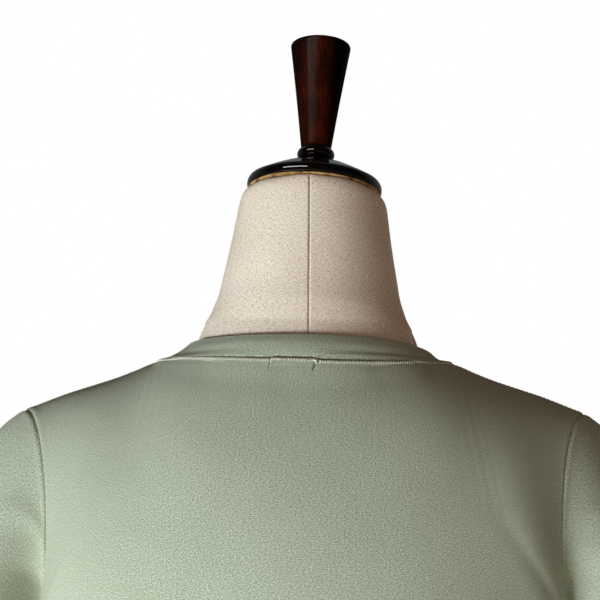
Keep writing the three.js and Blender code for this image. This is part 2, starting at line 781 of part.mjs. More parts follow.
const columnTop = socketTop - 40 - SEAM_GAP;
const columnFoot = 62 + SEAM_GAP;
add(
  "stand_column",
  turned(
    [
      [0, columnFoot],
      [27, columnFoot],
      [28, columnFoot + 6],
      ...moulding(22, 6, columnFoot + 14, 20, 6),
      [STAND.columnRadius, columnFoot + 44],
      [STAND.columnRadius + 4, columnFoot + 130],
      [STAND.columnRadius + 1, columnTop - 150],
      [STAND.columnRadius - 1, columnTop - 40],
      ...moulding(STAND.columnRadius - 1, 6, columnTop - 28, 16, 6),
      [STAND.columnRadius, columnTop - 6],
      [STAND.columnRadius, columnTop],
      [0, columnTop],
    ],
    32,
  ),
  "lacquer",
);

const R = STAND.baseRadius;
add(
  "stand_base",
  turned(
    [
      [0, 0],
      [R - 6, 0],
      [R - 1, 4],
      [R, 10],
      [R - 2, 17],
      [R - 9, 22],
      [R - 30, 26],
      [R - 90, 33],
      [60, 44],
      [44, 52],
      [40, 62],
      [0, 62],
    ],
    56,
  ),
  "lacquer",
);

export default part;
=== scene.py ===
"""Henley dress in cotton jersey on a tailor's bust: the visible pieces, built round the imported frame.

Formulas are in millimetres in the part's own frame: +Z up, the origin on the floor under the stand, the dress
facing -Y. Meshes are written in metres. On a panel w runs from -1 at one side seam to 1 at the other, and v from
0 at the hem to 1 at the underarm and 2 at the shoulder seam or neckline.
"""

import math

import bmesh
import bpy
import numpy as np
from bpy.props import FloatProperty, FloatVectorProperty, IntProperty, PointerProperty
from mathutils import Matrix, Vector


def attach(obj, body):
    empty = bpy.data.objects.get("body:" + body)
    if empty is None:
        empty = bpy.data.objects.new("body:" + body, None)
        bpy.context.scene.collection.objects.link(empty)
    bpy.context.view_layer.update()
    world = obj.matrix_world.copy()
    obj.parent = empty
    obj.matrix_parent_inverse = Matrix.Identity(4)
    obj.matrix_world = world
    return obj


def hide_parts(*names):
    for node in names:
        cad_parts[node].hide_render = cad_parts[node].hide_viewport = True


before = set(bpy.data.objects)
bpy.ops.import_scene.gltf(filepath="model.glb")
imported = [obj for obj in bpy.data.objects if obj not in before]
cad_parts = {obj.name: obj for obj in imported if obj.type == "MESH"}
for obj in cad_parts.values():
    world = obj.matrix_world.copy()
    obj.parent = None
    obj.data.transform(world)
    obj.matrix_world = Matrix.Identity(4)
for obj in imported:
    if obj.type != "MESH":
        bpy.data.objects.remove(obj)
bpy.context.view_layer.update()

bl_info = {
    "name": "Henley Dress on a Tailor's Bust",
    "version": (1, 0, 0),
    "blender": (4, 5, 0),
    "location": "View3D > Sidebar > Henley Dress",
    "description": "Builds a cotton jersey henley dress, the bust that wears it and a small studio",
    "category": "Add Mesh",
}

MM = 0.001  # a millimetre in metres

# ---------------------------------------------------------------- sizes of the sewn and turned shapes

UNDERARM_Z = 1190.0
HEM_Z = 460.0
SEAM_GAP = 0.3
NECK_SHARE = 0.5  # share of a panel's half-width that ends at the neckline
# How far a column keeps its direction at its foot and at its head, of its height. On the dress's back the head's
# reach is longer where the cloth rounds over the shoulder.
RISE_HANDLE, TOP_HANDLE, SHOULDER_HANDLE = 0.4, 0.3, 0.17
SHOULDER_AT, SHOULDER_WIDTH = 0.6, 0.22  # where across the back that is, and how wide
PANEL_MM = 280.0  # a panel's half-width along the cloth at the chest
YOKE_MM = 200.0  # a panel's height from underarm to shoulder seam
TOP_MM = 150.0  # cloth in one unit of v just under the neckline
SKIRT_MM = UNDERARM_Z - HEM_Z
SLEEVE_MM = 110.0  # a sleeve's length down its middle
SLEEVE_ROUND = 400.0  # a sleeve's cloth once round the armhole
HEM_DEPTH, CUFF_DEPTH = 20.0, 0.16  # cloth turned up: the skirt's in millimetres, a cuff's as a share of its sleeve
HEM_GAP = 0.25  # air inside a turned-up hem

DRESS = {
    # height, half-width, depth in front, depth behind
    "rings": np.array(
        [
            [460, 238, 160, 162],
            [600, 223, 153, 156],
            [775, 205, 143, 147],
            [880, 191, 131, 131],
            [975, 180, 122, 115],
            [1060, 176, 128, 110],
            [1140, 178, 137, 112],
            [1190, 182, 129, 115],
        ],
        float,
    ),
    "neck": {"side": (101, 4, 1377.3), "back": (78, 1363.8, 1.08), "front": (-85, 1292, 1.25), "tilt": 0.027},
    # distance from the middle and height of the shoulder seam
    "ridge": np.array(
        [[101, 1377.3], [108, 1374.5], [115, 1371], [122, 1367.9], [130, 1364.7], [142, 1360.5], [154, 1356.5],
         [166, 1352.3], [192, 1341.8]],
        float,
    ),
    "tip": (4, 1341.8),
    "armhole": {"back": 54, "front": 47, "inset": 20},
    # the way the cloth heads over the shoulder at each seam: towards the shoulder's line, and up
    "lean": {
        "back": (-0.42, 0.907),
        "back_side": (-0.97, 0.24),
        "front": (-0.5, 0.86),
        "front_side": (-0.87, 0.5),
        "tip": (-1, 0.05),
    },
}

BUST = {
    "rings": np.array(
        [
            [700, 158, 98, 106],
            [775, 168, 106, 113],
            [880, 148, 98, 98],
            [975, 124, 87, 80],
            [1060, 138, 104, 92],
            [1140, 156, 127, 102],
            [1190, 164, 117, 107],
        ],
        float,
    ),
    "neck": {"side": (72.2, 3.5, 1402), "back": (62, 1394, 1.6), "front": (-58, 1322, 1.3)},
    "ridge": np.array(
        [[72.2, 1402], [75, 1395.5], [78, 1386.6], [82, 1379], [89, 1372.4], [97, 1369], [120, 1362.3], [152, 1351.8],
         [182, 1339.8]],
        float,
    ),
    "tip": (4, 1339.8),
    "armhole": {"back": 50, "front": 43, "inset": 22},
    "lean": {
        "back": (-0.3, 0.95),
        "back_side": (-0.5, 0.86),
        "front": (-0.5, 0.86),
        "front_side": (-0.5, 0.86),
        "tip": (-1, 0.05),
    },
}

# The linen neck above its root: height, half-width, depth in front, depth behind.
NECK = np.array(
    [
        [1410, 68.4, 55, 60.5],
        [1424, 63.8, 53.5, 57.8],
        [1438, 61.2, 52.4, 56],
        [1453, 58.5, 51.5, 54.2],
        [1468, 56, 51, 52.8],
        [1484, 53.7, 50.6, 51.3],
        [1492, 52.4, 50.2, 50.6],
        [1497.5, 50.5, 49.4, 49.4],
        [1500.3, 48.2, 48, 48],
        [1501.3, 46.6, 46.6, 46.6],
    ],
    float,
)

# The neck bends a little towards the wearer's right and carries its turned top with it.
LEAN_ANGLE = math.radians(3.3)
LEAN_FROM, LEAN_TO = 1300.0, 1500.0
LEAN_WITHIN, LEAN_FADE = 78.0, 40.0
SWAY_POWER = 0.25
FINIAL_LEAN = math.radians(2.3)

# The band's top edge sits lower and wider on the wearer's right, where the neck leans over it.
BAND_TOP = {
    "side": (79.4, 4, 1388),
    "right": (88, 4, 1380.4),
    "back": (68.6, 1382.2, 1.25),
    "front": (-74, 1312, 1.25),
}
PLACKET = {"half": 15.0, "length": 150.0, "lap": 2.0, "box": 12.0}
BUTTON = {"radius": 5.8, "thick": 2.8, "hole": 0.8, "reach": 1.05, "first": 17.0, "pitch": 50.0}
CUFF = {"x": 233.0, "y": 2.0, "z": 1126.0, "reach": 36.0, "half_depth": 69.0}
SLEEVE_SLANT = math.radians(20)

# Long soft folds of the hanging skirt: degrees from the centre back towards +X, width in degrees, depth at the
# hem (a trough is negative), height it starts from.
FOLDS = np.array(
    [
        [12, 17, -11, 1010],
        [38, 20, 10, 930],
        [62, 16, -9, 860],
        [100, 18, -8, 900],
        [128, 17, 9, 980],
        [151, 15, -12, 1040],
        [177, 18, 7, 900],
        [206, 16, -11, 1030],
        [234, 19, 10, 940],
        [262, 15, -8, 850],
        [297, 17, -9, 930],
        [322, 18, 11, 990],
        [345, 15, -7, 900],
    ],
    float,
)

# Creases listed for each panel, as a straight run of cloth from one point to another: across and up from
# the panel's middle at the hem, in millimetres of cloth (up passes 730 at the underarm), then half-width and
# height, a trough being negative, and how much of the run each end takes to fade.
BACK_CREASES = np.array(
    [
        # across the shoulder blades
        [-232, 760, -120, 806, 11, -0.9, 0.15, 0.6],
        [-240, 742, -150, 760, 9, 0.9, 0.1, 0.7],
        [236, 752, 118, 792, 13, -0.7, 0.12, 0.6],
        [244, 738, 160, 742, 8, 0.5, 0.1, 0.7],
        [252, 770, 196, 812, 9, -0.5, 0.2, 0.6],
        # from the neck seam
        [-44, 924, -50, 884, 7, -0.5, 0.02, 0.8],
        [-70, 926, -80, 876, 9, 0.5, 0.02, 0.8],
        [-86, 928, -97, 890, 5, -0.45, 0.02, 0.8],
        [60, 924, 74, 868, 10, -0.45, 0.02, 0.85],
        [14, 922, 10, 860, 9, -0.35, 0.05, 0.85],
        # small of the back
        [-150, 560, -20, 520, 10, -1.8, 0.4, 0.5],
        [-176, 520, -60, 470, 13, 2.4, 0.4, 0.5],
        [40, 500, 168, 552, 11, -2.1, 0.5, 0.4],
        [64, 458, 190, 498, 14, 2.2, 0.5, 0.4],
        [-210, 610, -110, 560, 9, -1.5, 0.3, 0.6],
        [226, 640, 140, 570, 10, -1.6, 0.3, 0.6],
        # skirt
        [-120, 410, -168, 150, 12, -2.6, 0.5, 0.4],
        [-52, 440, -66, 60, 9, 2.2, 0.5, 0.2],
        [36, 380, 52, 30, 13, -2.8, 0.5, 0.1],
        [108, 430, 150, 130, 10, 2.0, 0.4, 0.5],
        [186, 400, 232, 60, 12, -2.4, 0.4, 0.2],
        [-214, 380, -252, 20, 11, 2.3, 0.5, 0.1],
    ]
)
FRONT_CREASES = np.array(
    [
        # pulls from the bust point and the armhole
        [-226, 752, -128, 700, 11, -1.6, 0.12, 0.6],
        [-236, 728, -150, 668, 12, 1.5, 0.12, 0.6],
        [228, 762, 134, 716, 10, -1.5, 0.12, 0.6],
        [240, 734, 158, 664, 13, 1.7, 0.1, 0.6],
        [-60, 812, -108, 760, 8, -0.8, 0.1, 0.7],
        [64, 822, 102, 776, 9, -0.9, 0.1, 0.7],
        # beside the placket
        [-30, 660, -44, 560, 8, -1.1, 0.2, 0.7],
        [30, 690, 52, 600, 9, 1.1, 0.2, 0.7],
        # under the bust and at the waist
        [-168, 600, -48, 548, 12, -2.2, 0.4, 0.5],
        [-188, 556, -70, 500, 14, 2.4, 0.4, 0.5],
        [52, 540, 176, 604, 11, -2.3, 0.5, 0.4],
        [30, 492, 190, 530, 14, 2.3, 0.5, 0.4],
        # skirt
        [-106, 420, -140, 90, 12, -2.6, 0.5, 0.3],
        [-44, 400, -40, 20, 10, 2.0, 0.5, 0.1],
        [28, 430, 16, 140, 11, -2.2, 0.5, 0.5],
        [92, 410, 126, 40, 13, 2.7, 0.5, 0.1],
        [172, 430, 214, 110, 10, -2.2, 0.4, 0.4],
        [-192, 400, -236, 40, 12, 2.4, 0.4, 0.1],
    ]
)
# On a sleeve: turn round from the shoulder (0) by the back (0.25) and underarm (0.5), share down to the cuff, for
# each end, then half-width in turns, height, and the share of the run each end takes to fade.
SLEEVE_CREASES = np.array(
    [
        [0.36, 0.02, 0.20, 0.70, 0.022, -2.0, 0.05, 0.7],
        [0.42, 0.05, 0.31, 0.95, 0.020, 1.8, 0.05, 0.5],
        [0.30, 0.00, 0.12, 0.50, 0.020, 1.4, 0.05, 0.7],
        [0.64, 0.02, 0.80, 0.66, 0.022, -2.1, 0.05, 0.7],
        [0.58, 0.05, 0.69, 0.98, 0.019, 1.9, 0.05, 0.5],
        [0.72, 0.00, 0.90, 0.48, 0.020, 1.3, 0.05, 0.7],
        [0.10, 0.20, 0.06, 0.90, 0.026, -1.5, 0.5, 0.4],
        [0.93, 0.30, 0.96, 0.95, 0.024, -1.4, 0.5, 0.3],
    ]
)
# On the neckband: turn (0 centre back, 1 the sides) and height share of each end, half-width as a height share,
# height, and fades.
BAND_CREASES = np.array(
    [
        [-0.95, 0.30, 0.10, 0.36, 0.17, -0.75, 0.3, 0.4],
        [-0.62, 0.13, 0.02, 0.10, 0.10, 0.45, 0.4, 0.4],
        [-0.05, 0.72, 0.85, 0.55, 0.20, 0.45, 0.5, 0.4],
        [0.18, 0.30, 1.00, 0.26, 0.14, -0.40, 0.4, 0.3],
        [-1.65, 0.55, -1.10, 0.35, 0.18, -0.50, 0.4, 0.4],
        [1.15, 0.45, 1.70, 0.62, 0.18, -0.50, 0.4, 0.4],
    ]
)

# Where the linen's cut edge sags under the disc: degrees round from +X, width, depth.
RAW_EDGE = np.array([[56, 17, 1.15], [28, 12, 0.7], [101, 8, 0.35], [140, 13, 0.75], [168, 12, 0.9], [262, 25, 0.6]])

# The woven label's two bar tacks behind the neck, and how far its fold lifts the seam between them.
TACK_X = (-6.8, 22.0)
LABEL_LIFT = 1.3


# ---------------------------------------------------------------- small formulas


def lerp(a, b, t):
    return a + (b - a) * t


def smooth(t):
    """3t^2 - 2t^3, held at 0 and 1 outside its span."""
    t = np.clip(t, 0, 1)
    return t * t * (3 - 2 * t)


def bell(distance, width):
    """1 at no distance, falling as the exponential of minus its square."""
    return np.exp(-((distance / width) ** 2))


def unit(vectors):
    return vectors / np.maximum(np.linalg.norm(vectors, axis=-1, keepdims=True), 1e-12)


def xyz(x, y, z):
    return np.stack(np.broadcast_arrays(x, y, z), axis=-1).astype(float)


def through(heights, values, at):
    """A smooth curve through a table: on each span, the cubic whose end slopes are the neighbours' chords."""
    n = len(heights)
    before, after = np.maximum(np.arange(n) - 1, 0), np.minimum(np.arange(n) + 1, n - 1)
    slope = (values[after] - values[before]) / (heights[after] - heights[before])
    i = np.clip(np.searchsorted(heights, at, side="left"), 1, n - 1)
    span = heights[i] - heights[i - 1]
    t = (at - heights[i - 1]) / span
    return (
        (2 * t**3 - 3 * t**2 + 1) * values[i - 1]
        + (t**3 - 2 * t**2 + t) * span * slope[i - 1]
        + (3 * t**2 - 2 * t**3) * values[i]
        + (t**3 - t**2) * span * slope[i]
    )


def bezier(p0, p1, p2, p3, t):
    t = np.asarray(t)[..., None]
    s = 1 - t
    return s**3 * p0 + 3 * s * s * t * p1 + 3 * s * t * t * p2 + t**3 * p3


def on_neck(neck, face, turn, sign):
    """A loop round the neck: x follows the sine of a quarter turn, depth and height its cosine, the height's
    cosine raised to a power so that the loop dips at the middle. turn is 0 at the centre and 1 at the side. A tilt
    raises the loop behind on the wearer's left and lowers it on the right, between the centre and the side."""
    end = neck["back"] if face > 0 else neck["front"]
    right = (np.asarray(sign) < 0)[..., None]
    side = np.where(right, neck.get("right", neck["side"]), neck["side"])
    over, across = np.sin(turn * np.pi / 2), np.clip(np.cos(turn * np.pi / 2), 0, 1)
    tilt = neck.get("tilt", 0.0) if face > 0 else 0.0
    z = lerp(side[..., 2], end[1], across ** end[2]) + tilt * sign * side[..., 0] * over * (1 - over * over)
    return xyz(sign * side[..., 0] * over, lerp(side[..., 1], end[0], across), z)


def raw_edge(angle):
    """How far the linen's cut edge dips below the disc at an angle round the neck from +X: a few wide sags, with
    a fine waver between them."""
    dip = np.zeros(np.shape(angle))
    for centre, width, depth in RAW_EDGE:
        away = (np.degrees(angle) - centre + 540) % 360 - 180
        dip = dip + depth * bell(away, width)
    return dip + 0.16 * (1 + np.sin(13 * angle + 2 * np.sin(3 * angle))) / 2


def label_lift(x):
    """How far the label's fold lifts the neck seam: level between the tacks, gone just outside them."""
    return LABEL_LIFT * smooth((x - TACK_X[0] + 0.9) / 1.8) * smooth((TACK_X[1] + 0.9 - x) / 1.8)


def creased(creases, a, b):
    """The sum of a table's creases at (a, b): each is a bell across its run, faded at its two ends."""
    total = np.zeros(np.broadcast(a, b).shape)
    for a0, b0, a1, b1, width, height, fade0, fade1 in creases:
        run = np.array([a1 - a0, b1 - b0])
        length = np.hypot(*run)
        t = ((a - a0) * run[0] + (b - b0) * run[1]) / length**2
        away = ((a - a0) * run[1] - (b - b0) * run[0]) / length
        faded = smooth((t + 0.02) / max(fade0, 0.02)) * smooth((1 - t) / max(fade1, 0.02))
        total = total + height * bell(away, width) * faded
    return total


def bent(points):
    """The neck's bend: the tilt grows evenly from the root to the top, the sway a little faster, and both fade out
    across the shoulders."""
    x, y, z = points[..., 0], points[..., 1], points[..., 2]
    share = np.clip((z - LEAN_FROM) / (LEAN_TO - LEAN_FROM), 0, 1)
    tilt = LEAN_ANGLE * share * (1 - smooth((np.abs(x) - LEAN_WITHIN) / LEAN_FADE))
    sway = tilt * share**SWAY_POWER * (LEAN_TO - LEAN_FROM) / 2
    return xyz(x * np.cos(tilt) - sway, y, z + x * np.sin(tilt))


class Torso:
    """The surface of the dress or of the bust: rings up the trunk, and above the underarm a cubic column from
    each ring point to the shoulder seam or neckline, drawn over to the armhole's oval near the side."""

    def __init__(self, spec, folded):
        self.spec, self.folded = spec, folded
        self.floor = spec["rings"][0, 0]
        self.tip_x = spec["ridge"][-1, 0]

    def _ring(self, column, z):
        return through(self.spec["rings"][:, 0], self.spec["rings"][:, column], z)

    def fold(self, angle, z):
        """How far the skirt's folds move the cloth out: bells across, growing from nothing to the hem."""
        out = np.zeros(np.broadcast(angle, z).shape)
        for centre, width, depth, start in FOLDS:
            away = ((angle - centre + 540) % 360 - 180) / width
            out = out + depth * smooth((start - z) / (start - HEM_Z)) * np.exp(-away * away)
        return out

    def on_ring(self, face, w, z):
        angle = w * np.pi / 2
        turn = angle if face > 0 else np.pi - angle
        out = self.fold(np.degrees(turn) % 360, z) if self.folded and np.any(z < FOLDS[:, 3].max()) else 0.0
        depth = self._ring(3 if face > 0 else 2, z)
        return xyz(
            (self._ring(1, z) + out) * np.sin(angle), face * (depth + out) * np.cos(angle), np.broadcast_to(z, w.shape)
        )

    def top(self, face, w):
        across, neck = np.abs(w), self.spec["neck"]
        loop = on_neck(neck, face, np.minimum(across / NECK_SHARE, 1), np.sign(w))
        share = (across - NECK_SHARE) / (1 - NECK_SHARE)
        x = lerp(neck["side"][0], self.tip_x, share)
        ridge_z = through(self.spec["ridge"][:, 0], self.spec["ridge"][:, 1], x)
        seam = xyz(np.sign(w) * x, lerp(neck["side"][1], self.spec["tip"][0], share), ridge_z)
        return np.where((across <= NECK_SHARE)[..., None], loop, seam)

    def lean(self, face, w):
        lean, across = self.spec["lean"], np.abs(w)[..., None]
        name = "back" if face > 0 else "front"
        centre, side, tip = (np.array(lean[key], float) for key in (name, name + "_side", "tip"))
        inner = lerp(centre, side, smooth(across / NECK_SHARE))
        outer = lerp(side, tip, smooth((across - NECK_SHARE) / (1 - NECK_SHARE)))
        yz = np.where(across <= NECK_SHARE, inner, outer)
        return unit(xyz(0, face * yz[..., 0], yz[..., 1]))

    def armhole(self, face, t, sign):
        """The armhole's oval from the underarm (t 0) to the shoulder tip (t 1), on one face."""
        hole = self.spec["armhole"]
        swell = np.sin(np.pi * t)
        half = self._ring(1, np.array(UNDERARM_Z))
        x = lerp(half, self.tip_x, smooth(t)) - hole["inset"] * swell
        y = self.spec["tip"][0] * smooth(t) + face * (hole["back"] if face > 0 else hole["front"]) * swell
        return xyz(sign * x, y, lerp(UNDERARM_Z, self.spec["tip"][1], (1 - np.cos(np.pi * t)) / 2))

    def column(self, face, w, t):
        foot, head = self.on_ring(face, w, np.array(UNDERARM_Z)), self.top(face, w)
        height = (head[..., 2] - foot[..., 2])[..., None]
        upwards = foot - self.on_ring(face, w, np.array(UNDERARM_Z - 1))
        reach = TOP_HANDLE
        if self.folded and face > 0:
            reach = reach + SHOULDER_HANDLE * bell(np.abs(w) - SHOULDER_AT, SHOULDER_WIDTH)
        second = head - self.lean(face, w) * height * np.broadcast_to(reach, w.shape)[..., None]
        return bezier(foot, foot + upwards * height * RISE_HANDLE, second, head, t)

    def at(self, face, w, v):
        w, v = np.broadcast_arrays(np.asarray(w, float), np.asarray(v, float))
        trunk = self.on_ring(face, w, lerp(self.floor, UNDERARM_Z, np.minimum(v, 1)))
        t, sign = v - 1, np.where(w < 0, -1.0, 1.0)
        pull = smooth((np.abs(w) - 0.3) / 0.7)[..., None]
        yoke = self.column(face, w, t)
        yoke = yoke + (self.armhole(face, t, sign) - self.column(face, sign, t)) * pull
        return np.where((v <= 1)[..., None], trunk, yoke)

    def normal(self, face, w, v, step=1e-3):
        """Outwards, from the surface's slopes along w and v."""
        w, v = np.broadcast_arrays(np.asarray(w, float), np.asarray(v, float))
        along = self.at(face, w + step, v) - self.at(face, w - step, v)
        up = self.at(face, w, v + step) - self.at(face, w, v - step)
        return unit(np.cross(along, up)) * -face


# The yoke's average: how far across it reaches, of a panel's half-width, the v from which it is taken back, and its
# samples, which weigh less the further out they are.
EASE_REACH = 0.2
EASE_BACK = 1.84
EASE_SHARES = np.linspace(-1, 1, 9)
EASE_WEIGHTS = (1 + np.cos(np.pi * EASE_SHARES * 0.9)) / (1 + np.cos(np.pi * EASE_SHARES * 0.9)).sum()


class DressCloth(Torso):
    """The dress as it hangs: the torso surface with its creases, seams and the lift of the label's fold."""

    def __init__(self):
        super().__init__(DRESS, True)

    def at(self, face, w, v):
        """The torso surface averaged over a reach across, so that no ridge runs down from the corner where
        neckline and shoulder seam meet. The reach is nothing at the side seams and over the skirt. Close under
        the top edge, what the average moved there is taken back, so that the edge itself stays where it was."""
        w, v = np.broadcast_arrays(np.asarray(w, float), np.asarray(v, float))
        reach = EASE_REACH * smooth((1 - np.abs(w)) / 0.3) * smooth((v - 0.7) / 0.4)
        eased = reach > 0
        points = super().at(face, w, v)
        around, up, span = w[eased], v[eased], reach[eased]
        total = self._average(face, around, up, span)
        back = smooth((up - EASE_BACK) / (2 - EASE_BACK))
        near = back > 0
        edge = np.full(near.sum(), 2.0)
        moved = super().at(face, around[near], edge) - self._average(face, around[near], edge, span[near])
        total[near] = total[near] + moved * back[near, None]
        points[eased] = total
        return points

    def _average(self, face, w, v, reach):
        total = 0
        for share, weight in zip(EASE_SHARES, EASE_WEIGHTS):
            total = total + weight * super().at(face, w + share * reach, v)
        return total

    def cloth_place(self, w, v):
        """Where a point lies on the flat cloth: across and up from the middle of the hem."""
        up = np.where(v <= 1, v * SKIRT_MM, SKIRT_MM + (v - 1) * YOKE_MM)
        return w * PANEL_MM, up

    def relief(self, face, w, v, x):
        a, b = self.cloth_place(w, v)
        out = creased(BACK_CREASES if face > 0 else FRONT_CREASES, a, b)
        below_top = (2 - v) * TOP_MM
        from_side = (1 - np.abs(w)) * PANEL_MM
        # Under the shoulder and neck seams the cloth dips into the stitching and stands in a small roll below it.
        # Both die away towards the corner between neckline and shoulder.
        calm = 1 - 0.85 * bell(np.abs(w) - NECK_SHARE, 0.06)
        out = out + (0.55 * bell(below_top - 2.2, 1.3) - 1.9 * bell(below_top, 1.0)) * calm
        out = out - 0.9 * bell(from_side, 1.3) + 0.3 * bell(from_side - 4, 2.5)
        if face > 0:
            out = out + self.tack_relief(x, below_top)
        return out

    def tack_relief(self, x, below_top):
        """The pinch at each bar tack: a short deep pleat with a swelling beside it."""
        hook = TACK_X[0] - 1.7 * bell(below_top - 2.6, 1.8) + 1.3 * smooth((below_top - 4) / 5)
        long = smooth((below_top + 1) / 1.5) * smooth((10.5 - below_top) / 5)
        out = -3.4 * bell(x - hook, 0.75) * long + 0.55 * bell(x - hook - 2.4, 1.6) * long
        lean = TACK_X[1] + 0.16 * below_top
        return out - 1.1 * bell(x - lean, 0.6) * long + 0.3 * bell(x - lean + 1.8, 1.4) * long

    def base(self, face, w, v):
        """The surface before its creases, with the seam lifted along the back of the neck."""
        point = self.at(face, w, v)
        if face > 0:
            lift = label_lift(point[..., 0]) * smooth((np.asarray(v) - 1.86) / 0.14)
            point = point + xyz(0, -0.6 * lift, 0.8 * lift)
        return point

    def skin(self, face, w, v, out=0.0):
        """A point of the worn cloth's middle surface, moved out along its normal."""
        point = self.base(face, w, v)
        w, v = np.broadcast_arrays(np.asarray(w, float), np.asarray(v, float))
        height = self.relief(face, w, v, point[..., 0]) + out
        return point + self.normal(face, w, v) * height[..., None]


# ---------------------------------------------------------------- meshes


THREAD_WELD = 1e-5  # doubles are merged within this distance in thread, whose ends lie close together


class Shape:
    """Points, faces and cloth coordinates gathered for one mesh, in millimetres."""

    def __init__(self):
        self.points, self.faces, self.places, self.count = [], [], [], 0

    def add(self, points, faces, places=None):
        """faces is an array of point numbers, one row a face; places gives each corner's cloth coordinates."""
        if places is None:
            places = np.zeros(faces.shape + (2,))
        self.points.append(points.reshape(-1, 3))
        self.faces.append((faces + self.count, places))
        self.count += len(self.points[-1])
        return self

    def grid(self, points, flip=1, places=None):
        """A skin over a grid of points, rows by columns. It faces along the cross product of the way its columns
        run and the way its rows run, or against it when flip is negative."""
        rows, columns = points.shape[:2]
        ids = np.arange(rows * columns).reshape(rows, columns)
        quads = np.stack([ids[:-1, :-1], ids[:-1, 1:], ids[1:, 1:], ids[1:, :-1]], -1).reshape(-1, 4)
        if flip < 0:
            quads = quads[:, ::-1]
        flat = None if places is None else places.reshape(-1, 2)[quads]
        return self.add(points, quads, flat)


def make(name, shape, weld=1e-3):
    """Writes a shape as a mesh object in metres, its doubles merged and its faces smooth."""
    points = np.concatenate(shape.points)
    sizes = np.concatenate([np.full(len(f), f.shape[1]) for f, _ in shape.faces])
    corners = np.concatenate([f.ravel() for f, _ in shape.faces])
    places = np.concatenate([p.reshape(-1, 2) for _, p in shape.faces])
    used, corners = np.unique(corners, return_inverse=True)
    mesh = bpy.data.meshes.new(name)
    mesh.vertices.add(len(used))
    mesh.vertices.foreach_set("co", (points[used] * MM).astype(np.float32).ravel())
    mesh.loops.add(len(corners))
    mesh.loops.foreach_set("vertex_index", corners.astype(np.int32))
    mesh.polygons.add(len(sizes))
    mesh.polygons.foreach_set("loop_start", (np.cumsum(sizes) - sizes).astype(np.int32))
    mesh.update(calc_edges=True)
    layer = mesh.uv_layers.new(name="cloth")
    layer.data.foreach_set("uv", (places * MM).astype(np.float32).ravel())
    work = bmesh.new()
    work.from_mesh(mesh)
    bmesh.ops.remove_doubles(work, verts=work.verts, dist=weld * MM)
    bmesh.ops.dissolve_degenerate(work, edges=work.edges, dist=1e-9)
    work.to_mesh(mesh)
    work.free()
    mesh.polygons.foreach_set("use_smooth", np.ones(len(mesh.polygons), bool))
    mesh.validate()
    mesh.update()
    obj = bpy.data.objects.new(name, mesh)
    bpy.context.scene.collection.objects.link(obj)
    return obj


def grid_normals(points, flip, closed):
    """The cross product of a grid's slopes along its columns and up its rows."""
    if closed:
        padded = np.concatenate([points[:, -2:-1], points, points[:, 1:2]], axis=1)
        along = padded[:, 2:] - padded[:, :-2]
    else:
        along = np.gradient(points, axis=1)
    return unit(np.cross(along, np.gradient(points, axis=0))) * flip


def wall(shape, points, thick, flip, places, closed=False, hole=None):
    """Cloth of a given thickness about a grid of points. Both sheets are the grid moved half the thickness along
    its normals, and every free edge is closed by a rim that bulges half the thickness outwards. A closed wall's
    last column is its first again; hole marks the cells left out."""
    rows, columns = points.shape[:2]
    total = rows * columns
    ids = np.arange(total).reshape(rows, columns)
    merged = ids.copy()
    if closed:
        merged[:, -1] = merged[:, 0]
    merged = merged.ravel()
    corners = np.stack([ids[:-1, :-1], ids[:-1, 1:], ids[1:, 1:], ids[1:, :-1]], -1)
    quads = corners[~hole] if hole is not None else corners.reshape(-1, 4)
    if flip < 0:
        quads = quads[:, ::-1]
    normals = grid_normals(points, flip, closed).reshape(-1, 3)
    flat, place = points.reshape(-1, 3), places.reshape(-1, 2)
    half = np.broadcast_to(thick, (rows, columns)).reshape(-1, 1) / 2

    start, end = quads.ravel(), np.roll(quads, -1, axis=1).ravel()
    forward = merged[start] * total + merged[end]
    backward = merged[end] * total + merged[start]
    rim = ~np.isin(forward, backward)
    p, q = start[rim], end[rim]
    outwards = np.zeros((total, 3))
    edge = np.cross(unit(flat[q] - flat[p]), normals[p])
    np.add.at(outwards, merged[p], edge)
    np.add.at(outwards, merged[q], edge)
    middle = flat + unit(outwards) * half
    everything = np.concatenate([flat + normals * half, flat - normals * half, middle])
    mp, mq = merged[p], merged[q]
    faces = [
        (merged[quads], place[quads]),
        (merged[quads[:, ::-1]] + total, place[quads[:, ::-1]]),
        (np.stack([mq, mp, mp + 2 * total, mq + 2 * total], -1), place[np.stack([q, p, p, q], -1)]),
        (np.stack([mq + 2 * total, mp + 2 * total, mp + total, mq + total], -1), place[np.stack([q, p, p, q], -1)]),
    ]
    shape.add(everything, np.concatenate([f for f, _ in faces]), np.concatenate([u for _, u in faces]))
    return shape


def turned(shape, profile, segments, place=None):
    """A profile of radius and height carried once round the Z axis, then set in place by a function."""
    angle = np.linspace(0, 2 * np.pi, segments + 1)
    radius, z = profile[:, :1], profile[:, 1:]
    points = xyz(radius * np.cos(angle), radius * np.sin(angle), np.broadcast_to(z, (len(profile), segments + 1)))
    if place is not None:
        points = place(points)
    run = np.concatenate([[0], np.cumsum(np.hypot(*np.diff(profile, axis=0).T))])
    places = np.stack(np.broadcast_arrays(angle * profile[:, 0].max(), run[:, None]), -1)
    return shape.grid(points, 1, places)


def softened(profile, radius, count=7):
    """A profile with each corner eased into a curve that leaves its two sides radius away, or half way."""
    profile = np.asarray(profile, float)
    before, corner, after = profile[:-2], profile[1:-1], profile[2:]
    to_before, to_after = before - corner, after - corner
    reach_b = np.minimum(radius / np.linalg.norm(to_before, axis=1), 0.5)[:, None]
    reach_a = np.minimum(radius / np.linalg.norm(to_after, axis=1), 0.5)[:, None]
    first, last = corner + to_before * reach_b, corner + to_after * reach_a
    t = np.linspace(0, 1, count)[None, :, None]
    curve = (1 - t) ** 2 * first[:, None] + 2 * t * (1 - t) * corner[:, None] + t**2 * last[:, None]
    return np.concatenate([profile[:1], curve.reshape(-1, 2), profile[-1:]])


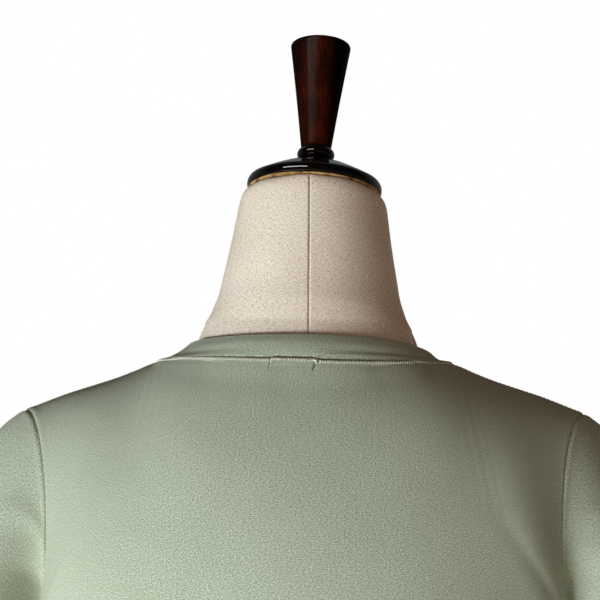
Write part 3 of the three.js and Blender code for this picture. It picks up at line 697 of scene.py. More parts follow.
def leaning(tilt):
    """Sets a turned piece on the bent neck: tipped about the neck's top and moved with it."""
    sway = LEAN_ANGLE * (LEAN_TO - LEAN_FROM) / 2

    def place(points):
        x, y, z = points[..., 0], points[..., 1], points[..., 2] - LEAN_TO
        return xyz(
            x * math.cos(tilt) - z * math.sin(tilt) - sway, y, x * math.sin(tilt) + z * math.cos(tilt) + LEAN_TO
        )

    return place


def stitches(shape, start, end, out, width, rise):
    """Short bodies of thread: three six-sided rings between two points, bowed out in the middle. Each runs from
    start to end; out is the direction off the cloth."""
    n, sides = len(start), 6
    along = unit(end - start)
    across = unit(np.cross(along, out))
    t = np.array([0.14, 0.5, 0.86])
    radius = np.array([0.72, 1.0, 0.72]) * width / 2
    angle = np.arange(sides) * 2 * np.pi / sides
    centre = lerp(start[:, None], end[:, None], t[None, :, None])
    centre = centre + out[:, None] * (rise * np.sin(np.pi * t))[None, :, None]
    ring = across[:, None, None] * np.cos(angle)[None, None, :, None]
    ring = ring + out[:, None, None] * np.sin(angle)[None, None, :, None]
    body = centre[:, :, None] + ring * radius[None, :, None, None]
    points = np.concatenate([body.reshape(n, -1, 3), start[:, None], end[:, None]], axis=1)
    k = np.arange(sides)
    nxt = (k + 1) % sides
    quads = np.concatenate(
        [np.stack([r * sides + k, r * sides + nxt, (r + 1) * sides + nxt, (r + 1) * sides + k], -1) for r in (0, 1)]
    )
    low = np.stack([np.full(sides, 3 * sides), nxt, k], -1)
    high = np.stack([np.full(sides, 3 * sides + 1), 2 * sides + k, 2 * sides + nxt], -1)
    per = points.shape[1]
    shift = (np.arange(n) * per)[:, None, None]
    shape.add(points, (quads[None] + shift).reshape(-1, 4)[:, ::-1])
    tris = (np.concatenate([low, high])[None] + shift).reshape(-1, 3)[:, ::-1]
    shape.faces.append((tris + shape.count - n * per, np.zeros((len(tris), 3, 2))))
    return shape


def evenly(points, pitch):
    """Places along a fine line of points, a pitch apart, as shares of the line's index."""
    run = np.concatenate([[0], np.cumsum(np.linalg.norm(np.diff(points, axis=0), axis=1))])
    count = max(2, int(round(run[-1] / pitch)))
    return np.interp(np.arange(count) * run[-1] / count, run, np.arange(len(run)) / (len(run) - 1))


def sew(shape, line, pitch, length, width, rise, slant=0.0, spread=0.0, seed=0):
    """A row of stitches along line(share) -> (points, normals). slant lays each one across the row, spread lets
    them wander."""
    fine = line(np.linspace(0, 1, 400))[0]
    share = evenly(fine, pitch)
    points, out = line(share)
    beyond = np.minimum(share + 1e-3, 1.0)
    ahead = unit(line(beyond)[0] - line(beyond - 1e-3)[0])
    side = unit(np.cross(out, ahead))
    draw = np.random.default_rng(seed)
    wander = draw.normal(0, spread, (3, len(share), 1)) if spread else np.zeros((3, len(share), 1))
    reach = ahead * length / 2 * math.cos(slant) + side * length / 2 * math.sin(slant)
    start = points - reach + side * wander[0] + ahead * wander[1]
    return stitches(shape, start, points + reach + side * wander[2], out, width, rise)


# ---------------------------------------------------------------- materials


def linear(value):
    """An sRGB hex colour as the linear four-part colour that Blender wants."""
    channels = np.array([int(value[i : i + 2], 16) / 255 for i in (0, 2, 4)])
    low = channels <= 0.04045
    return (*np.where(low, channels / 12.92, ((channels + 0.055) / 1.055) ** 2.4).tolist(), 1.0)


def node(tree, kind, inputs=None, stops=(), **settings):
    """Adds a node with its settings; inputs maps a socket's name or number to a value or to an output socket, and
    stops gives a colour ramp's places and colours."""
    made = tree.nodes.new("ShaderNode" + kind)
    for key, value in settings.items():
        setattr(made, key, value)
    for key, value in (inputs or {}).items():
        if isinstance(value, bpy.types.NodeSocket):
            tree.links.new(value, made.inputs[key])
        else:
            made.inputs[key].default_value = value
    if stops:
        elements = made.color_ramp.elements
        while len(elements) < len(stops):
            elements.new(0.5)
        for element, (at, colour) in zip(elements, stops):
            element.position, element.color = at, colour
    return made


def shader(name):
    """A new material and its tree, with the Principled node that the tree already has."""
    made = bpy.data.materials.new(name)
    made.use_nodes = True
    return made, made.node_tree, made.node_tree.nodes["Principled BSDF"]


def finish_shader(tree, principled, colour, bump, **sockets):
    """Sets the even values on the shader's own sockets and links the colour and the surface relief."""
    for key, value in sockets.items():
        principled.inputs[key.replace("_", " ")].default_value = value
    tree.links.new(colour, principled.inputs["Base Color"])
    if bump is not None:
        tree.links.new(bump, principled.inputs["Normal"])


def mixed(colour, share, other):
    """A colour moved part of the way to another."""
    return tuple(lerp(np.array(colour), np.array(other), share))


BLACK, WHITE = (0, 0, 0, 1), (1, 1, 1, 1)
MULTIPLIED = {"data_type": "RGBA", "blend_type": "MULTIPLY"}


def jersey():
    """Cotton jersey, knitted from heather yarn and brushed: matt, a soft pile at grazing angles, fine pale and
    dark flecks from the mixed fibres."""
    made, tree, principled = shader("brushed_cotton_jersey")
    base = tuple(bpy.context.scene.henley_colours.jersey)
    cloth = node(tree, "UVMap", uv_map="cloth").outputs[0]
    place = node(tree, "TexCoord").outputs["Object"]
    # Flecks of the mixed yarn are 0.3 mm; they are drawn at about 1 mm, longer across, so that they show.
    fleck_place = node(tree, "Mapping", {0: cloth, "Scale": (860, 1350, 1)}).outputs[0]
    fleck = node(tree, "TexNoise", {"Vector": fleck_place, "Scale": 1.0, "Detail": 2.0, "Roughness": 0.6})
    dark, pale = mixed(base, 0.60, linear("4d5140")), mixed(base, 0.62, linear("ecebdc"))
    stops = [(0.34, dark), (0.47, base), (0.53, base), (0.66, pale)]
    flecks = node(tree, "ValToRGB", {0: fleck.outputs[0]}, stops=stops)
    # Broad unevenness of the dye, about 45 mm across.
    cloud = node(tree, "TexNoise", {"Vector": place, "Scale": 22.0, "Detail": 2.0})
    dye = node(tree, "ValToRGB", {0: cloud.outputs[0]}, stops=[(0.3, (0.94, 0.94, 0.93, 1)), (0.7, WHITE)])
    colour = node(tree, "Mix", {0: 1.0, 6: flecks.outputs[0], 7: dye.outputs[0]}, **MULTIPLIED)
    # Wales of the knit are 0.9 mm apart and are drawn at 1.6 mm; the pile is a finer noise over them.
    knit = {"Vector": cloth, "Scale": 100.0, "Distortion": 1.2, "Detail": 1.0, "Detail Scale": 6.0}
    wale = node(tree, "TexWave", knit, bands_direction="X")
    pile = node(tree, "TexNoise", {"Vector": cloth, "Scale": 1050.0, "Detail": 2.0})
    lift = node(tree, "Bump", {"Height": wale.outputs[1], "Strength": 0.05, "Distance": 0.0003})
    fur = {"Height": pile.outputs[0], "Strength": 0.4, "Distance": 0.0004, "Normal": lift.outputs[0]}
    lift = node(tree, "Bump", fur)
    finish_shader(
        tree, principled, colour.outputs[2], lift.outputs[0], Roughness=0.92, IOR=1.45, Specular_IOR_Level=0.25,
        Sheen_Weight=0.12, Sheen_Roughness=0.6, Sheen_Tint=linear("e8ecdf"),
    )
    return made


def linen():
    """Plain woven linen, unbleached: dry and matt, uneven warp and weft threads with darker slubs."""
    made, tree, principled = shader("plain_woven_linen")
    base = tuple(bpy.context.scene.henley_colours.linen)
    cloth = node(tree, "UVMap", uv_map="cloth").outputs[0]
    place = node(tree, "TexCoord").outputs["Object"]
    # Threads are 0.5 mm apart and are drawn at about 0.6 mm, in short runs where they pass over each other. Warp
    # runs up the neck, weft round it.
    warp_place = node(tree, "Mapping", {0: cloth, "Scale": (1700, 520, 1)}).outputs[0]
    weft_place = node(tree, "Mapping", {0: cloth, "Scale": (420, 1700, 1)}).outputs[0]
    warp = node(tree, "TexNoise", {"Vector": warp_place, "Scale": 1.0, "Detail": 1.0})
    weft = node(tree, "TexNoise", {"Vector": weft_place, "Scale": 1.0, "Detail": 1.0})
    both = node(tree, "Math", {0: warp.outputs[0], 1: weft.outputs[0]}, operation="ADD")
    woven = node(tree, "Math", {0: both.outputs[0], 1: 0.5}, operation="MULTIPLY")
    stops = [
        (0.385, mixed(base, 0.5, linear("8f785a"))),
        (0.465, mixed(base, 0.12, linear("b39a7e"))),
        (0.53, base),
        (0.62, mixed(base, 0.7, linear("fffaf0"))),
    ]
    weave = node(tree, "ValToRGB", {0: woven.outputs[0]}, stops=stops)
    # Stains of age and handling, about 60 mm across.
    stain = node(tree, "TexNoise", {"Vector": place, "Scale": 15.0, "Detail": 3.0})
    aged = node(tree, "ValToRGB", {0: stain.outputs[0]}, stops=[(0.3, (0.93, 0.90, 0.86, 1)), (0.66, WHITE)])
    colour = node(tree, "Mix", {0: 1.0, 6: weave.outputs[0], 7: aged.outputs[0]}, **MULTIPLIED)
    lift = node(tree, "Bump", {"Height": woven.outputs[0], "Strength": 0.45, "Distance": 0.0003})
    finish_shader(
        tree, principled, colour.outputs[2], lift.outputs[0], Roughness=0.95, IOR=1.45, Specular_IOR_Level=0.2,
        Sheen_Weight=0.05, Sheen_Roughness=0.5,
    )
    return made


def lacquered_wood(name, glow, gloss, coat):
    """Turned beech under dark shellac lacquer: near black with a clear wet gloss, the red-brown grain showing
    in the middle of the turning by as much as glow, and painted shade taking it to near black at its two sides. gloss
    is the roughness and coat the weight of its clear top, which hands have dulled on the handle."""
    made, tree, principled = shader(name)
    colours = bpy.context.scene.henley_colours
    place = node(tree, "TexCoord").outputs["Object"]
    # Grain runs up the turning: lines 1.5 mm wide and 40 mm long.
    grain_place = node(tree, "Mapping", {0: place, "Scale": (620, 620, 26)}).outputs[0]
    grain = node(tree, "TexNoise", {"Vector": grain_place, "Scale": 1.0, "Detail": 4.0, "Roughness": 0.6})
    patch_place = node(tree, "Mapping", {0: place, "Scale": (60, 60, 25)}).outputs[0]
    patch = node(tree, "TexNoise", {"Vector": patch_place, "Scale": 1.0, "Detail": 2.0})
    both = node(tree, "Math", {0: grain.outputs[0], 1: patch.outputs[0]}, operation="MULTIPLY")
    dark, red = tuple(colours.lacquer), tuple(colours.grain)
    stops = [(0.16, mixed(dark, 0.15 * glow, red)), (0.36, mixed(dark, glow, red))]
    lines = node(tree, "ValToRGB", {0: both.outputs[0]}, stops=stops)
    # Painted shade: along X, away from the turning's middle, the colour goes from the grain to the dark lacquer
    # at the two sides, where the round piece turns away from the light. The mask named thick carries this painted
    # shade.
    axes = node(tree, "SeparateXYZ", {0: place})
    shifted = node(tree, "Math", {0: axes.outputs[0], 1: 0.006}, operation="ADD")
    beside = node(tree, "Math", {0: shifted.outputs[0]}, operation="ABSOLUTE")
    thick = node(tree, "ValToRGB", {0: beside.outputs[0]}, stops=[(0.0075, BLACK), (0.0145, WHITE)])
    mix = {0: thick.outputs[0], 6: lines.outputs[0], 7: dark}
    colour = node(tree, "Mix", mix, data_type="RGBA", blend_type="MIX")
    lift = node(tree, "Bump", {"Height": grain.outputs[0], "Strength": 0.04, "Distance": 0.0003})
    finish_shader(
        tree, principled, colour.outputs[2], lift.outputs[0], Roughness=0.5, IOR=1.5, Specular_IOR_Level=0.0,
        Coat_Weight=coat, Coat_Roughness=gloss, Coat_IOR=1.5,
    )
    return made


def dark_wood():
    return material(lacquered_wood, "lacquered_wood_dark", 0.06, 0.035, 1.0)


def rubbed_wood():
    return material(lacquered_wood, "lacquered_wood_rubbed", 0.9, 0.2, 0.07)


def board():
    """Bare millboard and glue: tan, matt, with a rubbed edge."""
    made, tree, principled = shader("bare_millboard")
    base = tuple(bpy.context.scene.henley_colours.board)
    place = node(tree, "TexCoord").outputs["Object"]
    ply_place = node(tree, "Mapping", {0: place, "Scale": (90, 90, 900)}).outputs[0]
    ply = node(tree, "TexNoise", {"Vector": ply_place, "Scale": 1.0, "Detail": 3.0})
    # Glue and lacquer have darkened it in patches about 7 mm long.
    smear = node(tree, "TexNoise", {"Vector": place, "Scale": 150.0, "Detail": 3.0, "Roughness": 0.6})
    both = node(tree, "Mix", {0: 0.65, 2: ply.outputs[0], 3: smear.outputs[0]})
    glued, worn = mixed(base, 0.5, linear("6b4a2a")), linear("cfae84")
    stops = [(0.38, linear("3a2412")), (0.44, glued), (0.52, base), (0.68, worn)]
    colour = node(tree, "ValToRGB", {0: both.outputs[0]}, stops=stops)
    lift = node(tree, "Bump", {"Height": ply.outputs[0], "Strength": 0.3, "Distance": 0.0004})
    finish_shader(tree, principled, colour.outputs[0], lift.outputs[0], Roughness=0.8, IOR=1.45)
    return made


def sewing_thread(name, colour):
    """Spun polyester thread: a faint gloss along twisted plies."""
    made, tree, principled = shader(name)
    place = node(tree, "TexCoord").outputs["Object"]
    # Plies are 0.2 mm; they are drawn at 0.5 mm.
    ply = node(tree, "TexNoise", {"Vector": place, "Scale": 2000.0, "Detail": 1.0})
    stops = [(0.3, mixed(colour, 0.25, BLACK)), (0.7, mixed(colour, 0.15, WHITE))]
    shade = node(tree, "ValToRGB", {0: ply.outputs[0]}, stops=stops)
    finish_shader(tree, principled, shade.outputs[0], None, Roughness=0.6, IOR=1.5, Specular_IOR_Level=0.4)
    return made


def seam_thread():
    return material(sewing_thread, "sewing_thread", tuple(bpy.context.scene.henley_colours.thread))


def button_resin():
    """Cast polyester resin, tumbled to a satin gloss, with a faint marbling."""
    made, tree, principled = shader("satin_button_resin")
    base = tuple(bpy.context.scene.henley_colours.button)
    place = node(tree, "TexCoord").outputs["Object"]
    swirl = node(tree, "TexNoise", {"Vector": place, "Scale": 260.0, "Detail": 3.0, "Distortion": 1.5})
    stops = [(0.3, mixed(base, 0.25, BLACK)), (0.7, mixed(base, 0.22, WHITE))]
    colour = node(tree, "ValToRGB", {0: swirl.outputs[0]}, stops=stops).outputs[0]
    finish_shader(tree, principled, colour, None, Roughness=0.32, IOR=1.54, Coat_Weight=0.3, Coat_Roughness=0.2)
    return made


def plaster():
    """Pale matt floor paint with a barely seen mottle."""
    made, tree, principled = shader("pale_floor_paint")
    place = node(tree, "TexCoord").outputs["Object"]
    mottle = node(tree, "TexNoise", {"Vector": place, "Scale": 1.5, "Detail": 4.0})
    colour = node(tree, "ValToRGB", {0: mottle.outputs[0]}, stops=[(0.3, linear("dedcd7")), (0.7, linear("e6e4e0"))])
    finish_shader(tree, principled, colour.outputs[0], None, Roughness=0.85, IOR=1.45)
    return made


MADE = {}


def material(make_it, *arguments):
    """The material that a function makes, made once for each name."""
    key = (make_it.__name__, *arguments[:1])
    if key not in MADE:
        MADE[key] = make_it(*arguments)
    return MADE[key]


def place_piece(obj, finish, slot, *nodes):
    """Gives a piece its material and its body, and hides the CAD nodes it stands for; slot is not used."""
    obj.data.materials.append(finish)
    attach(obj, "root")
    if nodes:
        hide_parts(*nodes)
    return obj


# ---------------------------------------------------------------- the dress

CLOTH = DressCloth()
SLOT_W = NECK_SHARE * 2 * math.asin(PLACKET["half"] / DRESS["neck"]["side"][0]) / math.pi
SLOT_FOOT_Z = DRESS["neck"]["front"][1] - PLACKET["length"]


def skirt_v(z):
    """The v of a panel at a height below the underarm."""
    return (z - HEM_Z) / SKIRT_MM


def turned_up(rows, ply, depth, per_mm):
    """Rows that carry the cloth up inside behind a folded hem: first the turned-up ply, then the fold, a half
    circle, and then the given rows. Rows and depth are in the surface's own measure, and per_mm is a millimetre of
    it. Returns each row's place and its distance off the cloth's face."""
    gap = ply + HEM_GAP
    inner = np.linspace(depth, 0, 7)
    angle = np.linspace(0, np.pi, 8)[1:-1]
    fold_rows = -np.sin(angle) * gap / 2 * per_mm
    fold_out = -gap / 2 - gap / 2 * np.cos(angle)
    return (
        np.concatenate([inner, fold_rows, rows]),
        np.concatenate([np.full(len(inner), -gap), fold_out, np.zeros(len(rows))]),
    )


def spans(*parts):
    """Joins even runs (start, end, steps) into one rising list without repeats."""
    return np.unique(np.round(np.concatenate([np.linspace(a, b, n + 1) for a, b, n in parts]), 7))


def panel(name, face):
    """A panel: the dress's skin over rows from the hem to the seam at the top and columns from side seam to side
    seam, closer near its seams, with the hem turned up inside."""
    sizes = bpy.context.scene.henley_sizes
    cloth = sizes.cloth / MM
    if face > 0:
        # Close columns at the label's two tacks, which lie at these shares on either side.
        half = spans(
            (0, 0.012, 4), (0.012, 0.031, 20), (0.031, 0.058, 8), (0.058, 0.082, 24), (0.082, 0.16, 18),
            (0.16, 0.5, 30), (0.5, 0.97, 30), (0.97, 1, 4),
        )
        rows = spans((0, 1, 76), (1, 1.86, 44), (1.86, 1.94, 12), (1.94, 2, 24))
    else:
        half = spans((0, SLOT_W, 6), (SLOT_W, 0.5, 44), (0.5, 0.97, 44), (0.97, 1, 8))
        rows = spans(
            (0, skirt_v(SLOT_FOOT_Z), 88), (skirt_v(SLOT_FOOT_Z), 1, 10), (1, 1.9, 66), (1.9, 1.96, 8), (1.96, 2, 14)
        )
    columns = np.concatenate([-half[:0:-1], half])
    rows, out = turned_up(rows, cloth, HEM_DEPTH / SKIRT_MM, 1 / SKIRT_MM)
    w, v = np.meshgrid(columns, rows)
    outs = np.broadcast_to(out[:, None], w.shape)
    points = CLOTH.skin(face, w, np.maximum(v, -0.004), outs)
    hole = None
    if face < 0:
        middle_w = (columns[:-1] + columns[1:]) / 2
        middle_v = (rows[:-1] + rows[1:]) / 2
        hole = (np.abs(middle_w)[None] < SLOT_W) & (middle_v[:, None] > skirt_v(SLOT_FOOT_Z))
    places = np.stack(CLOTH.cloth_place(w, v), -1)
    return make(name, wall(Shape(), points, cloth, -face, places, hole=hole))


def sleeve_line(turn, share):
    """The left sleeve: from each armhole point a cubic runs outwards and then down to the cuff's slanting oval."""
    face_back = turn <= 0.5
    t = np.where(face_back, 1 - turn * 2, 1 - (1 - turn) * 2)
    up, back = np.cos(turn * 2 * np.pi), np.sin(turn * 2 * np.pi)
    low = (1 - up) / 2
    outward = unit(xyz(0.9, -0.3 * back, lerp(-0.37, 0.5, low)))
    hole = np.where(face_back[..., None], CLOTH.armhole(1, t, 1.0), CLOTH.armhole(-1, t, 1.0))
    start = hole - outward * 0.4
    lean, drop = math.sin(SLEEVE_SLANT), math.cos(SLEEVE_SLANT)
    cuff = xyz(
        CUFF["x"] + CUFF["reach"] * up * drop,
        CUFF["y"] + CUFF["half_depth"] * back,
        CUFF["z"] + CUFF["reach"] * up * lean,
    )
    downward = np.array([lean, 0, -drop])
    second = start + outward * lerp(52, 14, np.sqrt(low))[..., None]
    third = cuff - downward * lerp(70, 24, low)[..., None]
    return bezier(start, second, third, cuff, share)


def sleeve_skin(turn, share, out):
    """The sleeve's cloth with its creases and the roll and dip at the armhole seam."""
    step = 1e-3
    point = sleeve_line(turn, share)
    along = sleeve_line((turn + step) % 1, share) - sleeve_line((turn - step) % 1, share)
    down = sleeve_line(turn, share + step) - sleeve_line(turn, share - step)
    normal = -unit(np.cross(along, down))
    around = (turn + 1) % 1
    height = creased(SLEEVE_CREASES, around, share)
    from_seam = share * SLEEVE_MM
    height = height + 0.45 * bell(from_seam - 3, 1.8) - 1.0 * bell(from_seam, 1.2)
    return point + normal * (height + out)[..., None], normal


def mirrored(points, sign):
    return points * np.array([sign, 1, 1])


def sleeve(name, sign):
    """A sleeve: its lines round and its shares down to the cuff, whose hem is turned up inside."""
    cloth = bpy.context.scene.henley_sizes.cloth / MM
    shares = spans((0, 0.06, 8), (0.06, 1, 70))
    # Down the sleeve the cuff is the last row, so the turned-up rows are counted back from it.
    back, out = turned_up(shares[:0], cloth, CUFF_DEPTH, 1 / SLEEVE_MM)
    rows = np.concatenate([shares, 1 - back[::-1]])
    out = np.concatenate([np.zeros(len(shares)), out[::-1]])
    turns = np.linspace(0, 1, 161)
    turn, share = np.meshgrid(turns, rows)
    points, _ = sleeve_skin(turn, share, np.broadcast_to(out[:, None], turn.shape))
    points[:, -1] = points[:, 0]
    places = np.stack([turn * SLEEVE_ROUND, share * -SLEEVE_MM], -1)
    return make(name, wall(Shape(), mirrored(points, sign), cloth, -sign, places, closed=True))


# ---------------------------------------------------------------- neckband and placket

# Thickness of the folded neckband and placket strips, and the air between their two plies.
BAND_CLOTH = 2.2
STRIP_CLOTH = 1.8
FOLD_GAP = 0.2
LAP_TURN = 2 + 2 * math.asin((PLACKET["half"] + PLACKET["lap"]) / DRESS["neck"]["side"][0]) / math.pi
LAP_STEP = (BAND_CLOTH + SEAM_GAP) / 2 + 0.3
OVER_SHIFT = 1.5 / 2 + SEAM_GAP + STRIP_CLOTH / 2


def neck_loop(neck, turn):
    """A whole neckline loop: turn is 0 at the centre back, 1 at the sides and 2 at the centre front, and passes 2
    where the ends lap."""
    sign, amount = np.where(turn < 0, -1.0, 1.0), np.abs(turn)
    behind = on_neck(neck, 1, np.minimum(amount, 1), sign)
    ahead = 2 - amount
    front = on_neck(neck, -1, np.abs(ahead), sign * np.where(ahead < 0, -1.0, 1.0))
    return np.where((amount <= 1)[..., None], behind, front)


def beside_corner(turn):
    """1 where the band crosses the shoulder seam, gone within an eighth of the loop: there its foot reaches down
    over the seam."""
    return bell(np.abs(turn) - 1, 0.2)


def band_base(turn, up):
    """The band between its seam and its top edge, standing up from the seam, its foot lifted over the label."""
    seam, edge = neck_loop(DRESS["neck"], turn), neck_loop(BAND_TOP, turn)
    along = unit(edge - seam)
    up = np.asarray(up)[..., None]
    behind = (np.abs(turn) < 1)[..., None]
    lift = label_lift(seam[..., 0])[..., None] * np.clip(1 - up, 0, 1) ** 2 * behind
    foot = seam + along * (0.9 - 1.5 * beside_corner(turn))[..., None]
    return lerp(foot, edge - along * 0.6, up) + along * lift


def band_shift(turn, up):
    """How far the band stands out: a soft roll between its edges, hollow up the sides of the neck, the step of
    one end over the other, and its creases."""
    lapped = LAP_STEP * smooth((np.abs(turn) - 1.55) / 0.4)
    behind = 1 - smooth((np.abs(turn) - 1) / 0.2)
    beside = np.sin(np.pi * turn / 2) ** 2 * behind
    inside = np.clip(up, 0, 1)
    out = lerp(1.4, -1.8, beside) * np.sin(np.pi * inside) - np.sign(turn) * lapped
    out = out + 0.2 * beside_corner(turn) * (1 - inside) ** 2
    return out + creased(BAND_CREASES, turn, up) * smooth(up * 8) * smooth((1 - up) * 6)


def folded_strip(base, normal, ply, gap):
    """Two plies of one strip folded along its last row: the inner ply goes up, the fold is a half circle past
    the last row, and the outer ply comes down again. base is the strip's middle surface, rows by columns."""
    half = (ply + gap) / 2
    angle = np.linspace(0, np.pi, 9)[1:-1]
    reach = unit(base[-1] - base[-2])
    fold = (
        base[-1][None]
        + reach[None] * (np.sin(angle) * half)[:, None, None]
        - normal[-1][None] * (np.cos(angle) * half)[:, None, None]
    )
    return np.concatenate([base - normal * half, fold, (base + normal * half)[::-1]])


def neckband():
    """The neckband: one strip folded double and sewn to the neckline, its fold at the top, lapped over the
    placket in front."""
    turns = np.linspace(-LAP_TURN, LAP_TURN, 433)
    ups = np.concatenate([np.linspace(0, 0.12, 4)[:-1], np.linspace(0.12, 1, 20)])
    turn, up = np.meshgrid(turns, ups)
    base = band_base(turn, up)
    normal = grid_normals(base, -1, False)
    base = base + normal * band_shift(turn, up)[..., None]
    normal = grid_normals(base, -1, False)
    points = folded_strip(base, normal, 1.0, FOLD_GAP)
    run = np.linalg.norm(np.diff(points, axis=0), axis=-1).mean(1)
    down = np.concatenate([[0], np.cumsum(run)])
    places = np.stack(np.broadcast_arrays(turns[None] * 150, down[:, None]), -1)
    return make("dress_neckband", wall(Shape(), points, 1.0, 1, places))


def placket_strip(name, half_width, foot_v, top_v, shift):
    """A placket strip, folded double along one long edge: the front panel's own surface moved out."""
    half_w = half_width * SLOT_W / PLACKET["half"]
    v = np.linspace(foot_v, top_v, 140)
    w, vv = np.meshgrid(np.linspace(-half_w, half_w, 17), v)
    base = CLOTH.at(-1, w, vv)
    normal = CLOTH.normal(-1, w, vv)
    ease = 0.25 * np.sin(np.linspace(0, 9.5, 140))[:, None] * np.linspace(-1, 1, 17)[None] ** 2
    base = base + normal * (shift + ease)[..., None]
    # Rows run across the strip, so that the fold is its edge on the wearer's left.
    points = folded_strip(base.transpose(1, 0, 2), normal.transpose(1, 0, 2), 0.8, FOLD_GAP)
    across = np.concatenate([[0], np.cumsum(np.linalg.norm(np.diff(points, axis=0), axis=-1).mean(1))])
    places = np.stack(np.broadcast_arrays(across[:, None], (v * 300)[None]), -1)
    return make(name, wall(Shape(), points, 0.8, -1, places))


def centre_v(z):
    """The v of the front's centre line at a height."""
    v = np.linspace(0, 2, 4001)
    return float(np.interp(z, CLOTH.at(-1, np.zeros_like(v), v)[:, 2], v))


def button_seat(number):
    """A button's centre, its outward direction and the direction up the placket."""
    z = DRESS["neck"]["front"][1] - BUTTON["first"] - number * BUTTON["pitch"]
    v = np.array([centre_v(z)])
    here = CLOTH.at(-1, np.zeros(1), v)[0]
    above = CLOTH.at(-1, np.zeros(1), v + 0.01)[0] - here
    out = unit(np.cross(np.array([1.0, 0, 0]), above))
    return here + out * (OVER_SHIFT + STRIP_CLOTH / 2 + SEAM_GAP), out, unit(above)


def button_height(radius):
    """The button's top: a dished middle inside a rounded rim."""
    r = radius / BUTTON["radius"]
    return BUTTON["thick"] * (0.62 + 0.38 * smooth((r - 0.56) / 0.16) - 0.34 * smooth((r - 0.88) / 0.12) ** 2)


def button_shape():
    """A four-hole button. Each quarter of the middle is a ring of lines from its hole to the quarter's outline,
    and the rest is a band of circles out to the rim and back underneath."""
    shape = Shape()
    inner = 0.56 * BUTTON["radius"]
    arc = np.linspace(0, np.pi / 2, 13)
    ray = np.linspace(0, inner, 9)
    outline = np.concatenate(
        [
            np.stack([ray, np.zeros(9)], -1)[:-1],
            np.stack([inner * np.cos(arc), inner * np.sin(arc)], -1),
            np.stack([np.zeros(9), ray[::-1]], -1)[1:],
        ]
    )
    hole = np.array([BUTTON["reach"]] * 2)
    heading = np.arctan2(*(outline - hole).T[::-1])
    ring = hole + BUTTON["hole"] * np.stack([np.cos(heading), np.sin(heading)], -1)
    share = np.linspace(0, 1, 7)[:, None, None]
    flat = lerp(ring[None], outline[None], share)
    for quarter in range(4):
        c, s = round(math.cos(quarter * math.pi / 2)), round(math.sin(quarter * math.pi / 2))
        x, y = c * flat[..., 0] - s * flat[..., 1], s * flat[..., 0] + c * flat[..., 1]
        top = button_height(np.hypot(x, y)) - 0.12 * (1 - smooth(share[..., 0] * 4))
        shape.grid(xyz(x, y, top), -1)
        shape.grid(xyz(x, y, 0.12 * (1 - smooth(share[..., 0] * 4))), 1)
        bore = np.linspace(0, 1, 4)[:, None]
        shape.grid(xyz(x[0], y[0], lerp(0.12, top[0], bore)), -1)
    rim = np.linspace(inner, BUTTON["radius"] * 0.985, 12)
    side = np.linspace(0, 1, 6)[1:]
    edge_top = button_height(np.array(BUTTON["radius"] * 0.985))
    outer = BUTTON["radius"] * (0.985 + 0.015 * np.sin(np.pi * side))
    low = 0.55
    profile = np.concatenate(
        [
            np.stack([rim, button_height(rim)], -1),
            np.stack([outer, lerp(edge_top, low, side)], -1),
            np.stack(
                [BUTTON["radius"] * np.array([0.96, 0.9, 0.8, 0.7]), np.array([0.3, 0.1, 0.0, 0.0])], -1
            ),
            [[inner, 0.0]],
        ]
    )
    turned(shape, profile[::-1], 48)
    return shape


def on_seat(points, seat):
    """Moves points from a button's own frame, +Z outwards and +Y up the placket, to its seat."""
    centre, out, up = seat
    return points @ np.stack([np.cross(up, out), up, out]) + centre


# ---------------------------------------------------------------- bust


SEAM_X = -2.3  # the bust's centre seam, from the middle


